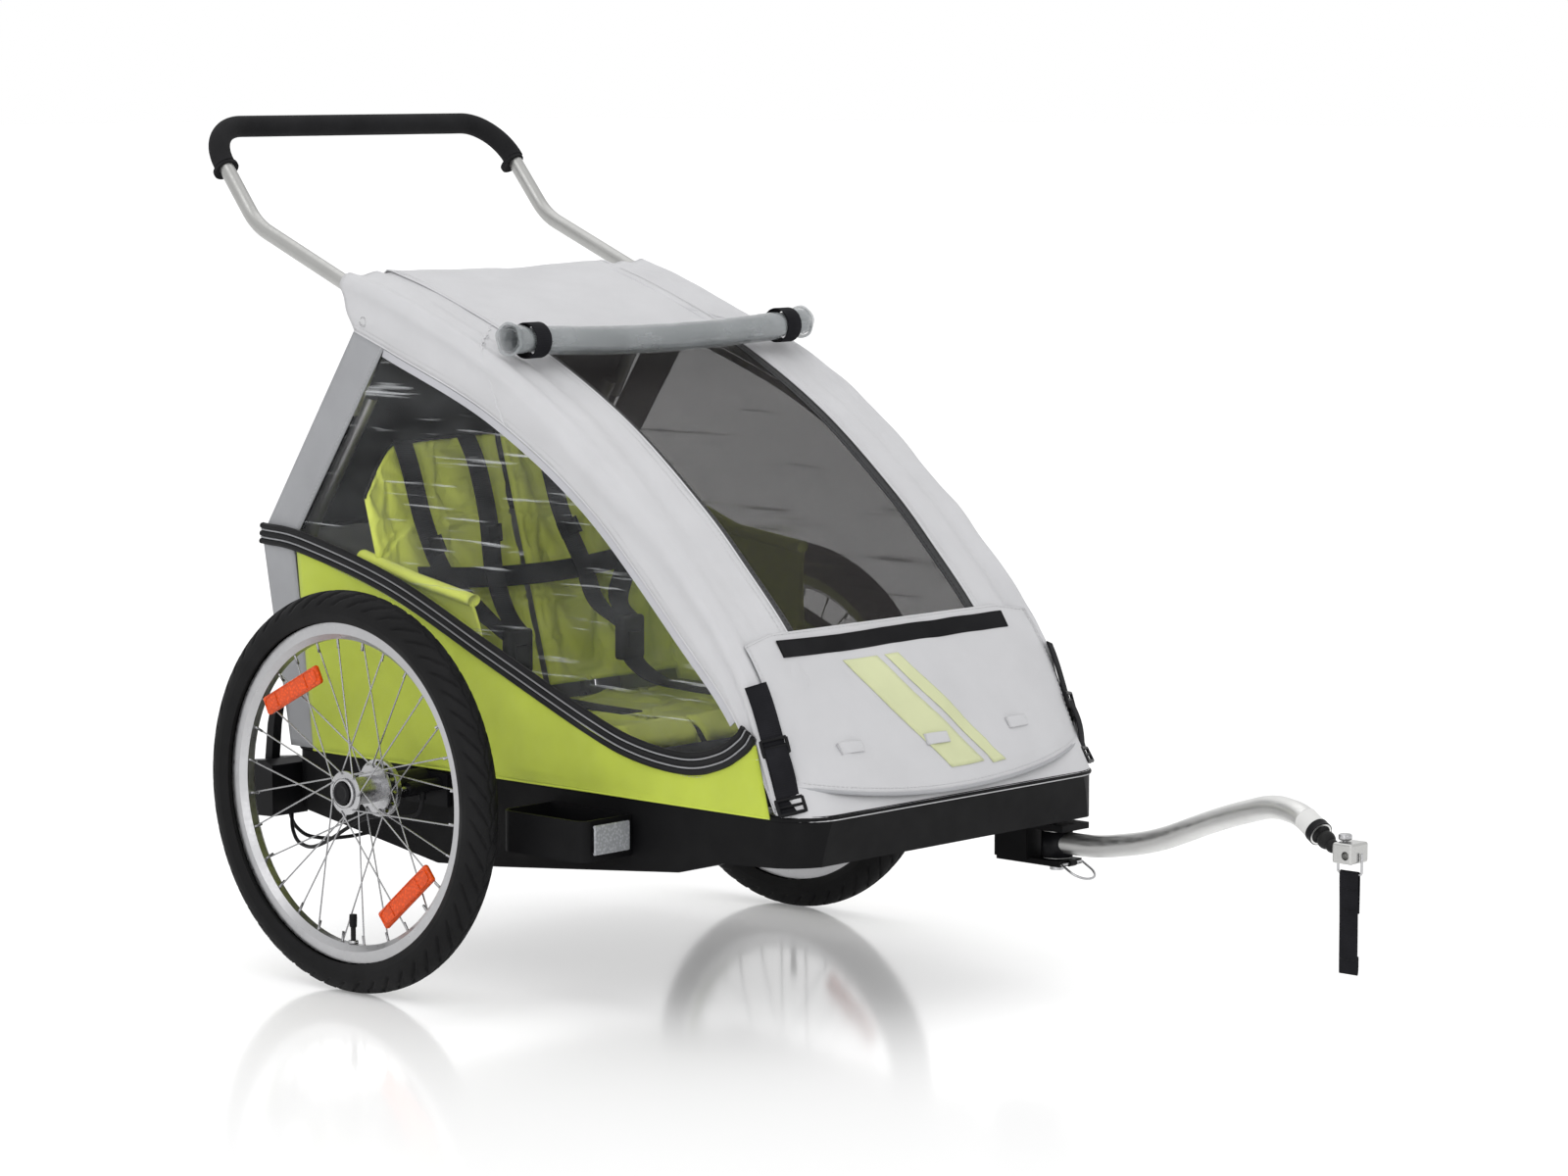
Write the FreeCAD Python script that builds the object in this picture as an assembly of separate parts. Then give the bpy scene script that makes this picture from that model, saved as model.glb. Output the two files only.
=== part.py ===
"""Two-seat child bicycle trailer: one STEP file per piece, in millimetres.

+Z is up, the trailer travels along -Y and +X is its left side. The origin is on the ground, midway
between the wheels and under their axle line.
"""
import FreeCAD, Part
import math
import os

V = FreeCAD.Vector
SIDES = {"right": -1, "left": 1}

# wheels
WHEEL_X = 402.5            # wheel mid-plane from the centre plane
AXLE_Z = 250.0             # axle height, equal to the tyre's outer radius
TYRE_SECTION = 23.5        # radius of the inflated tyre's round section
TYRE_WALL = 4.0
RIM_OUTER = 211.0
RIM_INNER = 190.0
BEAD_DEPTH = 7.0           # how far the tyre's beads reach into the rim
RIM_HALF_WIDTH = 12.5
RIM_LIP = 1.8              # wall of the rim's two lips
SPOKES = 28
SPOKE_R = 1.0
SPOKE_LEAD = 48.0          # degrees from a spoke's rim end to its hub end
FLANGE_OUT_R = 27.0
FLANGE_IN_R = 30.0
HUB_BORE = 9.0
BEARING_R = 13.0
AXLE_R = 6.0
SOCKET_TUBE_R = 17.0       # wheel socket at the axle tube's end
AXLE_TUBE_R = 15.0
SOCKET_END = 338.0
AXLE_FIT = 0.05            # radial clearance between axle and bearings
BRAKE_RING_R = 36.0
BRAKE_HOLES = 12
BRAKE_HOLE_CIRCLE = 30.0
BRAKE_HOLE_R = 4.0
BRAKE_PIN_R = 3.0
BUTTON_STEM_R = 3.0
BUTTON_R = 14.0
REFLECTORS = ((41, 14), (221, 1))    # degrees round the wheel, and tilt toward level

# tub
TUB_HALF = 278.0
TUB_TOP = 272.0
TUB_WALL = 3.0
TUB_FRONT_CORNER = 55.0    # plan radius of the tub's two front corners
TUB_REAR_CORNER = 30.0
TUB_OUTLINE = [(252, TUB_TOP), (246, 192), (-20, 148), (-130, 156), (-440, 186), (-510, 205),
               (-640, 212), (-645, TUB_TOP)]

# frame tubes
BASE_Z = 262.0
BASE_HALF = 243.0
BASE_FRONT = -600.0
BASE_REAR = 222.0
BASE_TUBE = 11.0
HOOP_X = 260.0
HOOP_TUBE = 12.0
HOOP_PIVOT = (-592.0, 290.0)
HOOP_RUN = [(-540, 402), (-440, 522), (-330, 620), (-136, 745)]
HOOP_END = (140.0, 858.0)
CROSSBAR = (100.0, 841.6)
STUB_X = 236.0
STUB_END = (176.4, 699.8)
LEG_X = 216.0
LEG_TUBE = 9.0
LEG_PIVOT = (205.0, 290.0)
LEG_KNEE = (287.0, 533.0)
LEG_TOP = (162.6, 720.7)
LEG_BAR = 0.78             # height of the legs' crossbar between pivot and knee
EYE_R = 12.0
BOLT_R = 4.0
BOLT_HEAD_R = 7.0
EAR_THICK = 6.0            # ears of the base frame that carry the folding frames
EAR_R = 9.0
HOOP_EAR_X = 239.0         # inner face of the hoops' ears
LEG_EAR_X = 227.0
RUNNING = 0.05             # radial clearance of a turning or sliding fit
TUBE_WALL = 1.9

# push bar
BAR_TUBE = 10.0
BAR_INSERT = 90.0
BAR_BEND_Y = 329.0         # where the bar turns up, in line with its sockets until there
BAR_TOP = (432.0, 1060.0)
BAR_CORNER = 62.0
BAR_ELBOW = 90.0           # bend radius where the bar turns up
FOAM_R = 14.0
FOAM_START = (392.0, 1011.7)

# fabric
SKIN = 2.5
REAR_X = 268.0             # half width of both rear panels
REAR_KNEE = (303.0, 546.0)
NOTCH_X = (246.0, 270.0)   # the upper rear panel is cut away here for the hoop ends
FRONT_OUTLINE = [(-612, 280), (-558, 414), (-514, 475), (-454, 539), (-384, 607), (-266, 700),
                 (-140, 773), (-90, 794)]
ROOF_OUTLINE = [(-92, 797), (-34, 818), (19, 840), (73, 858), (110, 868), (150, 880)]
WINDOW_EDGE = [(53, 782), (-123, 714), (-292, 610), (-454, 458), (-518, 394), (-590, 280)]
TRIM_LINE = [(300, 540), (223, 533), (57, 491), (-120, 420), (-290, 352), (-400, 322), (-500, 325)]
WINDOW_HALF = 160.0
BAND_X = 276.5
PANEL_X = 280.5

# seat
SEAT_TOP = 325.0
SEAT_HALF = 200.0
SEAT_CENTRE = 102.0        # seat centres from the centre plane
BACK_FOOT = (55.0, 332.0)
BACK_HEAD = (150.0, 668.0)
BACK_THICK = 14.0
STRAP_SPREAD = 58.0
STRAP_HALF = 17.0
STRAP_THICK = 2.0

# tow arm and hitch
ARM_TUBE = 14.0
ARM_ROUTE = [(235, -600, 178), (234, -665, 178), (228, -760, 196), (206, -880, 243),
             (168, -985, 274), (140, -1045, 273), (129, -1081, 255)]
ARM_PIVOT = (235.0, -600.0)
ARM_BOLT_R = 5.0
RUBBER_NEAR_R = 11.0       # round end of the rubber joint at the arm
RUBBER_FAR_R = 8.0         # round end at the coupling block
RUBBER_REACH = 13.0        # between the two round ends' centres
BLOCK = (34.0, 28.0, 24.0)
BLOCK_AT = (120.0, -1129.0, 241.0)
HITCH_BORE_R = 5.1
PIN_SETBACK = 7.0          # the pin stands behind the block's centre, clear of the bore
BAIL_WIRE = 1.5
BAIL_DROP = 25.0
BAIL_GAP = 2.6             # from the block's front and back faces to the middle of the wire
WEBBING_HALF = 13.0
STRAP_DROP = 118.0
LOOP_BAR = (-624.0, 153.5)  # the D-ring's hinge
LOOP_WIRE = 1.6
LOOP_WIDTH = 40.0
LOOP_REACH = 34.0
LOOP_SLOPE = 28.0

# parking brake
LEVER_AXIS = (286.0, 236.0)
LEVER_X = -284.0
BRAKE_Y = -30.0
CABLE_R = 2.5
CABLE_X = 312.0            # the cable stops under the brake-pin barrels
CABLE_STOP = 233.0
CABLE_RIGHT = [(-268, 266, 179), (-275, 258, 161), (-288, 234, 147), (-300, 194, 144), (-308, 150, 160),
               (-312, 110, 182), (-313, 70, 201), (-313, 28, 206), (-312, -5, 208), (-312, -26, 216),
               (-312, -30, 233)]
CABLE_LEFT = [(-258, 282, 178.5), (-254, 279, 160), (-238, 274, 144), (-205, 270, 136), (-158, 268, 134),
              (-102, 267, 138), (-42, 268, 136), (16, 269, 139), (76, 268, 137), (134, 269, 139.5),
              (190, 268, 140), (240, 262, 143), (280, 240, 148), (302, 198, 156), (310, 150, 170),
              (313, 108, 188), (313, 68, 202), (313, 28, 206), (312, -5, 208), (312, -26, 216),
              (312, -30, 233)]


def save(shape, name):
    """Write one node's STEP file."""
    if not shape.isValid():
        print("INVALID", name)
    print(f"{name:22s} solids {len(shape.Solids):3d}  cm3 {shape.Volume / 1000:9.2f}")
    shape.exportStep(f"parts/{name}.step")


def group(shapes):
    """Several separate solids in one node."""
    return Part.makeCompound(shapes)


def mirrored(shape):
    """The same piece on the other side."""
    return shape.mirror(V(0, 0, 0), V(1, 0, 0))


def both(shape):
    """A piece and its mirror image."""
    return [shape, mirrored(shape)]


def fused(shapes):
    """One solid from overlapping shapes."""
    whole = shapes[0].multiFuse(shapes[1:])
    return whole.Solids[0] if len(whole.Solids) == 1 else whole


def box(x0, x1, y0, y1, z0, z1):
    """A box between two corners."""
    return Part.makeBox(x1 - x0, y1 - y0, z1 - z0, V(x0, y0, z0))


def rod(start, end, radius):
    """A round bar between two points."""
    a, b = V(*start), V(*end)
    return Part.makeCylinder(radius, (b - a).Length, a, b - a)


def across(place, radius, reach=290):
    """A round bar right across the trailer through a (y, z) point, to cut bores with."""
    return rod((-reach, *place), (reach, *place), radius)


def upright(body, wanted):
    """The vertical edges of a body whose middle point meets a condition."""
    found = []
    for edge in body.Edges:
        if abs(edge.Vertexes[0].Z - edge.Vertexes[-1].Z) > 1 and wanted(edge.CenterOfMass):
            found.append(edge)
    return found


def unit(place, end):
    """Unit (y, z) direction from one point to another."""
    dy, dz = end[0] - place[0], end[1] - place[1]
    size = math.hypot(dy, dz)
    return dy / size, dz / size


def plate(outline, x0, x1):
    """A (y, z) outline made solid from x0 to x1."""
    points = [V(x0, y, z) for y, z in outline]
    return Part.Face(Part.makePolygon(points + points[:1])).extrude(V(x1 - x0, 0, 0))


def strip(line, thick, x0, x1):
    """A sheet that follows an open (y, z) line, which is its outer face, from x0 to x1."""
    inner = []
    for n, (y, z) in enumerate(line):
        before, after = line[max(n - 1, 0)], line[min(n + 1, len(line) - 1)]
        dy, dz = after[0] - before[0], after[1] - before[1]
        size = math.hypot(dy, dz)
        inner.append((y + thick * dz / size, z - thick * dy / size))
    return plate(list(line) + inner[::-1], x0, x1)


def smooth_wire(points, radii=None):
    """Straight runs joined by tangent arcs, each as large as its two runs allow."""
    points = [V(*p) for p in points]
    edges, at = [], points[0]
    for n in range(1, len(points) - 1):
        back, ahead = points[n - 1] - points[n], points[n + 1] - points[n]
        half = (math.pi - back.getAngle(ahead)) / 2
        reach = 0.45 * min(back.Length, ahead.Length)
        if radii and radii.get(n):
            reach = radii[n] * math.tan(half)
        radius = reach / math.tan(half)
        first = points[n] + back.normalize() * reach
        last = points[n] + ahead.normalize() * reach
        inward = (back + ahead).normalize()
        middle = points[n] + inward * (radius / math.cos(half) - radius)
        edges.append(Part.LineSegment(at, first).toShape())
        edges.append(Part.Arc(first, middle, last).toShape())
        at = last
    edges.append(Part.LineSegment(at, points[-1]).toShape())
    return Part.Wire(edges)


def pipe(points, radius, radii=None):
    """A round bar along a smooth route."""
    start, toward = V(*points[0]), V(*points[1]) - V(*points[0])
    profile = Part.Wire(Part.makeCircle(radius, start, toward))
    return smooth_wire(points, radii).makePipeShell([profile], True, False)


def tube(points, radius, wall, radii=None):
    """A hollow tube along a smooth route, open at both ends."""
    return pipe(points, radius, radii).cut(pipe(points, radius - wall, radii))


def wheel_face(section, side):
    """A flat face above one wheel's axle, from (outboard, radius) points."""
    points = [V(side * (WHEEL_X + u), 0, AXLE_Z + r) for u, r in section]
    return Part.Face(Part.makePolygon(points + points[:1]))


def turned(section, side):
    """A section of (outboard, radius) points turned about the axle of one wheel."""
    return wheel_face(section, side).revolve(V(0, 0, AXLE_Z), V(1, 0, 0), 360)


def ring(u0, u1, r0, r1, side):
    """A plain ring on one wheel's axle, from u0 to u1 outboard of the wheel's mid-plane."""
    return turned([(u0, r0), (u1, r0), (u1, r1), (u0, r1)], side)


# ---------------------------------------------------------------- wheels

def tyre(side):
    """Round carcass, open towards the rim."""
    centre = V(side * WHEEL_X, 0, 2 * AXLE_Z - TYRE_SECTION)
    outer = Part.Face(Part.Wire(Part.makeCircle(TYRE_SECTION, centre, V(0, 1, 0))))
    inner = Part.Face(Part.Wire(Part.makeCircle(TYRE_SECTION - TYRE_WALL, centre, V(0, 1, 0))))
    gap = wheel_face([(-30, RIM_INNER), (30, RIM_INNER), (30, RIM_OUTER), (-30, RIM_OUTER)], side)
    parts = [outer.cut(inner).cut(gap).revolve(V(0, 0, AXLE_Z), V(1, 0, 0), 360)]
    toe = RIM_HALF_WIDTH - RIM_LIP - 0.1
    for s in (-1, 1):
        bead = [(s * toe, RIM_OUTER - BEAD_DEPTH), (s * (toe - 2), RIM_OUTER - BEAD_DEPTH),
                (s * (toe - 2), RIM_OUTER + 2), (s * (toe + 4), RIM_OUTER + 2), (s * (toe + 4), RIM_OUTER),
                (s * toe, RIM_OUTER)]
        parts.append(turned(bead, side))
    return fused(parts)


def inner_tube(side):
    """Air tube inside the tyre, with its valve stem through the rim."""
    centre = V(side * WHEEL_X, 0, 2 * AXLE_Z - TYRE_SECTION)
    outer = Part.Face(Part.Wire(Part.makeCircle(TYRE_SECTION - TYRE_WALL - 1, centre, V(0, 1, 0))))
    floor = RIM_OUTER + 3
    keep = wheel_face([(-40, floor), (40, floor), (40, AXLE_Z), (-40, AXLE_Z)], side)
    hollow = Part.Face(Part.Wire(Part.makeCircle(TYRE_SECTION - TYRE_WALL - 3, centre, V(0, 1, 0))))
    section = outer.common(keep).cut(hollow)
    skin = section.revolve(V(0, 0, AXLE_Z), V(1, 0, 0), 360)
    stem = rod((side * WHEEL_X, 0, AXLE_Z - 166), (side * WHEEL_X, 0, AXLE_Z - 216), 3.2)
    pad = box(side * WHEEL_X - 12.5, side * WHEEL_X + 12.5, -8, 8, AXLE_Z - 217, AXLE_Z - 214.5)
    return fused([skin, pad, stem])


def rim(side):
    """Box-lipped aluminium rim with a valve hole."""
    w, lip, floor = RIM_HALF_WIDTH, RIM_LIP, 3.0
    section = [(-w, RIM_OUTER), (-w, RIM_INNER + 7), (-5, RIM_INNER), (5, RIM_INNER), (w, RIM_INNER + 7),
               (w, RIM_OUTER), (w - lip, RIM_OUTER), (w - lip, RIM_INNER + 8), (4, RIM_INNER + floor),
               (-4, RIM_INNER + floor), (lip - w, RIM_INNER + 8), (lip - w, RIM_OUTER)]
    hole = rod((side * WHEEL_X, 0, AXLE_Z - RIM_OUTER), (side * WHEEL_X, 0, AXLE_Z - RIM_INNER + 8), 3.4)
    return turned(section, side).cut(hole)


def hub(side):
    """Hub shell with two spoke flanges, bearing seats and the brake ring."""
    section = [(-51, 13), (-51, 22), (-50, BRAKE_RING_R), (-44, BRAKE_RING_R), (-43, 20), (-39, 20),
               (-39, FLANGE_IN_R), (-36, FLANGE_IN_R), (-35, 17), (6, 17), (8, FLANGE_OUT_R),
               (11, FLANGE_OUT_R), (12, 20), (12, 15), (8, 15), (8, BEARING_R), (0, BEARING_R),
               (0, HUB_BORE), (-35, HUB_BORE), (-35, BEARING_R)]
    shell = turned(section, side)
    holes = []
    for n in range(BRAKE_HOLES):
        turn = 2 * math.pi * n / BRAKE_HOLES
        y = BRAKE_HOLE_CIRCLE * math.cos(turn)
        z = AXLE_Z + BRAKE_HOLE_CIRCLE * math.sin(turn)
        holes.append(rod((side * (WHEEL_X - 52), y, z), (side * (WHEEL_X - 43.2), y, z), BRAKE_HOLE_R))
    return shell.cut(group(holes))


def bearings(side):
    """Two sealed ball bearings, each simplified to one ring."""
    inner = AXLE_R + AXLE_FIT
    return group([ring(-44, -35, inner, BEARING_R, side), ring(0, 8, inner, BEARING_R, side)])


def spokes(side):
    """Crossed steel spokes from both flanges to the rim."""
    bars = []
    for n in range(SPOKES):
        outer = n % 2 == 0
        lead = SPOKE_LEAD if (n // 2) % 2 else -SPOKE_LEAD
        at_rim = math.radians(360 * n / SPOKES + 360 / SPOKES / 2)
        at_hub = at_rim + math.radians(lead)
        u, r = (9.5, FLANGE_OUT_R - 3) if outer else (-37.5, FLANGE_IN_R - 3)
        u += 2.6 if lead > 0 else -2.6
        foot = (side * (WHEEL_X + u), r * math.cos(at_hub), AXLE_Z + r * math.sin(at_hub))
        head_r = RIM_INNER + 1.5
        head = (side * (WHEEL_X + (1.5 if outer else -1.5)), head_r * math.cos(at_rim),
                AXLE_Z + head_r * math.sin(at_rim))
        bars.append(rod(foot, head, SPOKE_R))
    return group(bars)


def wheel_reflectors(side):
    """Two moulded reflectors clipped between the spokes."""
    shapes = []
    for turn, tilt in REFLECTORS:
        body = box(-4, 4, -56, 56, 144, 168)
        body = body.makeFillet(3.5, body.Edges)
        body.rotate(V(0, 0, 156), V(1, 0, 0), tilt)
        body.translate(V(side * (WHEEL_X + 4), 0, AXLE_Z))
        body.rotate(V(0, 0, AXLE_Z), V(1, 0, 0), -turn)
        shapes.append(body)
    return group(shapes)


def hub_button(side):
    """Quick-release button at the axle's outer end, with its stem."""
    cap = ring(12.6, 18, 0.0, BUTTON_R, side)
    stem = rod((side * (WHEEL_X - 6), 0, AXLE_Z), (side * (WHEEL_X + 13), 0, AXLE_Z), BUTTON_STEM_R)
    return cap.fuse(stem).removeSplitter()


# ---------------------------------------------------------------- chassis

def tub_block(inset, top):
    """The tub's outer shape, drawn in by inset and carried up to top."""
    side = Part.makePolygon([V(0, y, z) for y, z in TUB_OUTLINE + TUB_OUTLINE[:1]])
    face = Part.Face(side)
    if inset:
        face = Part.Face(side.makeOffset2D(-inset))
    half = TUB_HALF - inset
    body = face.extrude(V(2 * half, 0, 0))
    body.translate(V(-half, 0, 0))
    front, rear = TUB_OUTLINE[-1][0] + inset, TUB_OUTLINE[0][0] - inset
    if inset:
        body = body.fuse(box(-half, half, front, rear, TUB_TOP - inset - 6, top))
    plan = box(-half, half, front, rear, 100, 400)
    plan = plan.makeFillet(TUB_FRONT_CORNER - inset, upright(plan, lambda at: at.y < 0))
    plan = plan.makeFillet(TUB_REAR_CORNER - inset, upright(plan, lambda at: at.y > rear - 1))
    return body.common(plan)


def tub():
    """Moulded floor tub, open on top, with holes for the axle tube."""
    shell = tub_block(0, TUB_TOP).cut(tub_block(TUB_WALL, TUB_TOP + 40))
    return shell.cut(across((0, AXLE_Z), AXLE_TUBE_R + 0.2, 300))


def base_frame():
    """Welded tube frame inside the tub's rim, with ears for both folding frames."""
    h, f, r, z = BASE_HALF, BASE_FRONT, BASE_REAR, BASE_Z
    front = pipe([(-h, -100, z), (-h, f, z), (h, f, z), (h, -100, z)], BASE_TUBE, {1: 50, 2: 50})
    rear = pipe([(-h, -100, z), (-h, r, z), (h, r, z), (h, -100, z)], BASE_TUBE, {1: 30, 2: 30})
    parts = [front, rear, rod((-h, -215, z), (h, -215, z), 8)]
    for s in (-1, 1):
        for x0, (y, top), reach in ((HOOP_EAR_X, HOOP_PIVOT, EAR_R), (LEG_EAR_X, LEG_PIVOT, 25)):
            a, b = sorted((s * x0, s * (x0 + EAR_THICK)))
            parts.append(box(a, b, y - EAR_R, y + reach, z, top))
            parts.append(rod((a, y, top), (b, y, top), EAR_R))
    holes = [across(HOOP_PIVOT, BOLT_R), across(LEG_PIVOT, BOLT_R), across((0, AXLE_Z), AXLE_TUBE_R)]
    return fused(parts).cut(group(holes))


def bolt(start, end, head_end, radius, head_radius):
    """A bolt from start to end, with its head from start on to head_end."""
    return rod(start, end, radius).fuse(rod(head_end, start, head_radius)).removeSplitter()


def hinge_bolts():
    """Shoulder bolts of both folding frames and of the tow arm."""
    bolts = []
    for s in (-1, 1):
        hoop = [(s * x, *HOOP_PIVOT) for x in (HOOP_EAR_X, 273, HOOP_EAR_X - 3)]
        leg = [(s * x, *LEG_PIVOT) for x in (LEG_EAR_X + EAR_THICK, 205, LEG_EAR_X + EAR_THICK + 3)]
        bolts.append(bolt(*hoop, BOLT_R, BOLT_HEAD_R))
        bolts.append(bolt(*leg, BOLT_R, BOLT_HEAD_R))
    arm = [(*ARM_PIVOT, z) for z in (148, 206, 143)]
    bolts.append(bolt(*arm, ARM_BOLT_R, 9))
    return group(bolts)


def axle_tube():
    """Cross tube with a wheel socket and a brake-pin barrel at each end."""
    parts = [across((0, AXLE_Z), AXLE_TUBE_R, 300)]
    for s in (-1, 1):
        parts.append(box(min(s * 279, s * 285), max(s * 279, s * 285), -46, 30, 222, 264))
        parts.append(rod((s * 284, 0, AXLE_Z), (s * SOCKET_END, 0, AXLE_Z), SOCKET_TUBE_R))
        parts.append(rod((s * 284, BRAKE_Y, AXLE_Z), (s * SOCKET_END, BRAKE_Y, AXLE_Z), 8))
        parts.append(rod((s * CABLE_X, BRAKE_Y, AXLE_Z - 5), (s * CABLE_X, BRAKE_Y, CABLE_STOP), 4.5))
    whole = fused(parts)
    bores = [across((0, AXLE_Z), AXLE_TUBE_R - 2.5, 262)]
    for s in (-1, 1):
        bores.append(rod((s * 280, 0, AXLE_Z), (s * 340, 0, AXLE_Z), AXLE_R))
        bores.append(rod((s * 290, BRAKE_Y, AXLE_Z), (s * 340, BRAKE_Y, AXLE_Z), BRAKE_PIN_R + RUNNING))
    return whole.cut(group(bores))


def stub_axle():
    """Plug-in axle on the +X side, bored for the button's stem."""
    bar = rod((282, 0, AXLE_Z), (WHEEL_X + 8, 0, AXLE_Z), AXLE_R)
    return bar.cut(rod((WHEEL_X - 12, 0, AXLE_Z), (WHEEL_X + 9, 0, AXLE_Z), BUTTON_STEM_R + RUNNING))


def brake_pin(side):
    """Locking pin that slides out into the hub's brake ring."""
    return rod((side * 305, BRAKE_Y, AXLE_Z), (side * 348, BRAKE_Y, AXLE_Z), BRAKE_PIN_R)


def wheel_guard(side):
    """Open-topped pocket in front of the wheel that keeps it off posts and kerbs."""
    outer = box(-362, -279, -362, -222, 198, 248)
    outer = outer.makeFillet(14, upright(outer, lambda at: at.x < -350))
    inner = box(-359, -282, -359, -225, 201, 260)
    inner = inner.makeFillet(11, upright(inner, lambda at: at.x < -350))
    shell = outer.cut(inner)
    return shell if side < 0 else mirrored(shell)


def front_reflector():
    """Rectangular reflector on the guard's front face."""
    body = box(-346, -286, -367, -362.3, 206, 242)
    return body.makeFillet(2, body.Edges)


def side_panel(side):
    """Lower fabric side, from the tub's rim up to the trim line."""
    outline = [(238, 268), (262, 409)] + TRIM_LINE + [(-560, 268)]
    return plate(outline, side * PANEL_X, side * (PANEL_X + 2))


def footwell():
    """Fabric floor in front of the seat."""
    line = [(-222, 292), (-240, 178), (-440, 197), (-510, 216), (-575, 221), (-583, 245)]
    return strip(line[::-1], 3, -222, 222)


def seat_base():
    """Padded bench."""
    pad = box(-SEAT_HALF, SEAT_HALF, -218, 105, SEAT_TOP - 35, SEAT_TOP)
    edges = [e for e in pad.Edges if abs(e.Vertexes[0].X - e.Vertexes[-1].X) > 1]
    return pad.makeFillet(12, edges)


def back_point(along, out):
    """A (y, z) point on the backrest: along it from foot (0) to head (1), and out from its front."""
    dy, dz = BACK_HEAD[0] - BACK_FOOT[0], BACK_HEAD[1] - BACK_FOOT[1]
    way_y, way_z = unit(BACK_FOOT, BACK_HEAD)
    return (BACK_FOOT[0] + along * dy - out * way_z, BACK_FOOT[1] + along * dz + out * way_y)


def on_back(x0, x1, low, high, out, thick):
    """A flat piece lying on the backrest's front."""
    outline = [back_point(low, out), back_point(high, out), back_point(high, out + thick),
               back_point(low, out + thick)]
    return plate(outline, x0, x1)


def seat_back():
    """Padded backrest for both children."""
    return on_back(-SEAT_HALF, SEAT_HALF, 0, 1, -BACK_THICK, BACK_THICK)


def harness():
    """Shoulder, waist and crotch webbing of both seats."""
    gap = 0.4
    straps = [on_back(-SEAT_HALF, SEAT_HALF, 0.44, 0.55, 2 * gap + STRAP_THICK, STRAP_THICK)]
    for centre in (-SEAT_CENTRE, SEAT_CENTRE):
        for x in (centre - STRAP_SPREAD, centre + STRAP_SPREAD):
            straps.append(on_back(x - STRAP_HALF, x + STRAP_HALF, 0.1, 0.97, gap, STRAP_THICK))
        outline = [(-70, SEAT_TOP + gap), (30, SEAT_TOP + gap), (30, SEAT_TOP + gap + STRAP_THICK),
                   (-70, SEAT_TOP + gap + STRAP_THICK)]
        straps.append(plate(outline, centre - STRAP_HALF, centre + STRAP_HALF))
    return group(straps)


def buckle_housing(centre):
    """Harness buckle with a well for its release button."""
    body = box(centre - 22, centre + 22, 8, 24, 366, 424)
    body = body.makeFillet(5, body.Edges)
    return body.cut(box(centre - 10.5, centre + 10.5, 7, 15, 382.5, 403.5))


def buckle_button(centre):
    """Square release button, standing proud of the buckle."""
    return box(centre - 10, centre + 10, 6, 11.5, 383, 403)


# ---------------------------------------------------------------- folding frames

def hoop_route(x):
    """The canopy tube's route on one side."""
    return [(x, y, z) for y, z in [HOOP_PIVOT, *HOOP_RUN, HOOP_END]]


def socket_point(beyond):
    """A (y, z) point in line with the hoop's last run, at a distance beyond its end."""
    way_y, way_z = unit(HOOP_RUN[-1], HOOP_END)
    return (HOOP_END[0] + beyond * way_y, HOOP_END[1] + beyond * way_z)


def canopy_frame():
    """Two side hoops with a rear crossbar and the stubs that meet the rear frame."""
    parts = []
    for s in (-1, 1):
        parts.append(pipe(hoop_route(s * HOOP_X), HOOP_TUBE))
        parts.append(rod((s * 250, *HOOP_PIVOT), (s * 271, *HOOP_PIVOT), EYE_R))
        parts.append(rod((s * STUB_X, *CROSSBAR), (s * STUB_X, *STUB_END), LEG_TUBE - 0.5))
    parts.append(across(CROSSBAR, LEG_TUBE, HOOP_X))
    bores = [across(HOOP_PIVOT, BOLT_R + RUNNING)]
    for s in (-1, 1):
        inner = (s * HOOP_X, *socket_point(-BAR_INSERT - 12))
        outer = (s * HOOP_X, *socket_point(5))
        bores.append(rod(inner, outer, BAR_TUBE + RUNNING))
    return fused(parts).cut(group(bores))


def rear_frame():
    """Two rear legs with a crossbar at the knee."""
    parts = []
    for s in (-1, 1):
        route = [(s * LEG_X, y, z) for y, z in (LEG_PIVOT, LEG_KNEE, LEG_TOP)]
        parts.append(pipe(route, LEG_TUBE, {1: 60}))
        parts.append(rod((s * 207, *LEG_PIVOT), (s * 225, *LEG_PIVOT), EYE_R))
    y = LEG_PIVOT[0] + LEG_BAR * (LEG_KNEE[0] - LEG_PIVOT[0])
    z = LEG_PIVOT[1] + LEG_BAR * (LEG_KNEE[1] - LEG_PIVOT[1])
    parts.append(across((y, z), LEG_TUBE - 2, LEG_X))
    return fused(parts).cut(across(LEG_PIVOT, BOLT_R + RUNNING))


def rear_panel_lower():
    """Fabric behind the luggage space, from the tub's rim up to the knee."""
    return strip([(232, 281), (263, 409), (303, 538)], SKIN, -REAR_X, REAR_X)


def rear_panel_upper():
    """Mesh from the knee up to the roof."""
    panel = strip([REAR_KNEE, (128, 816), (133, 866)], SKIN, -REAR_X, REAR_X)
    notch = box(*NOTCH_X, 100, 150, 800, 880)
    return panel.cut(group(both(notch)))


def roof():
    """Fabric roof between the hoops."""
    return strip(ROOF_OUTLINE[::-1], -SKIN, -BAND_X, BAND_X)


def side_band(side):
    """Pale fabric band over one hoop: a front strip and a side strip."""
    a, b = sorted((side * (WINDOW_HALF + 3), side * BAND_X))
    front = strip(FRONT_OUTLINE, SKIN, a, b)
    outline = FRONT_OUTLINE[:-1] + [(-92, 790), (-34, 813), (73, 852), (145, 870), (118, 815)] + WINDOW_EDGE
    a, b = sorted((side * (BAND_X - SKIN), side * BAND_X))
    return front.fuse(plate(outline, a, b)).removeSplitter()


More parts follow.
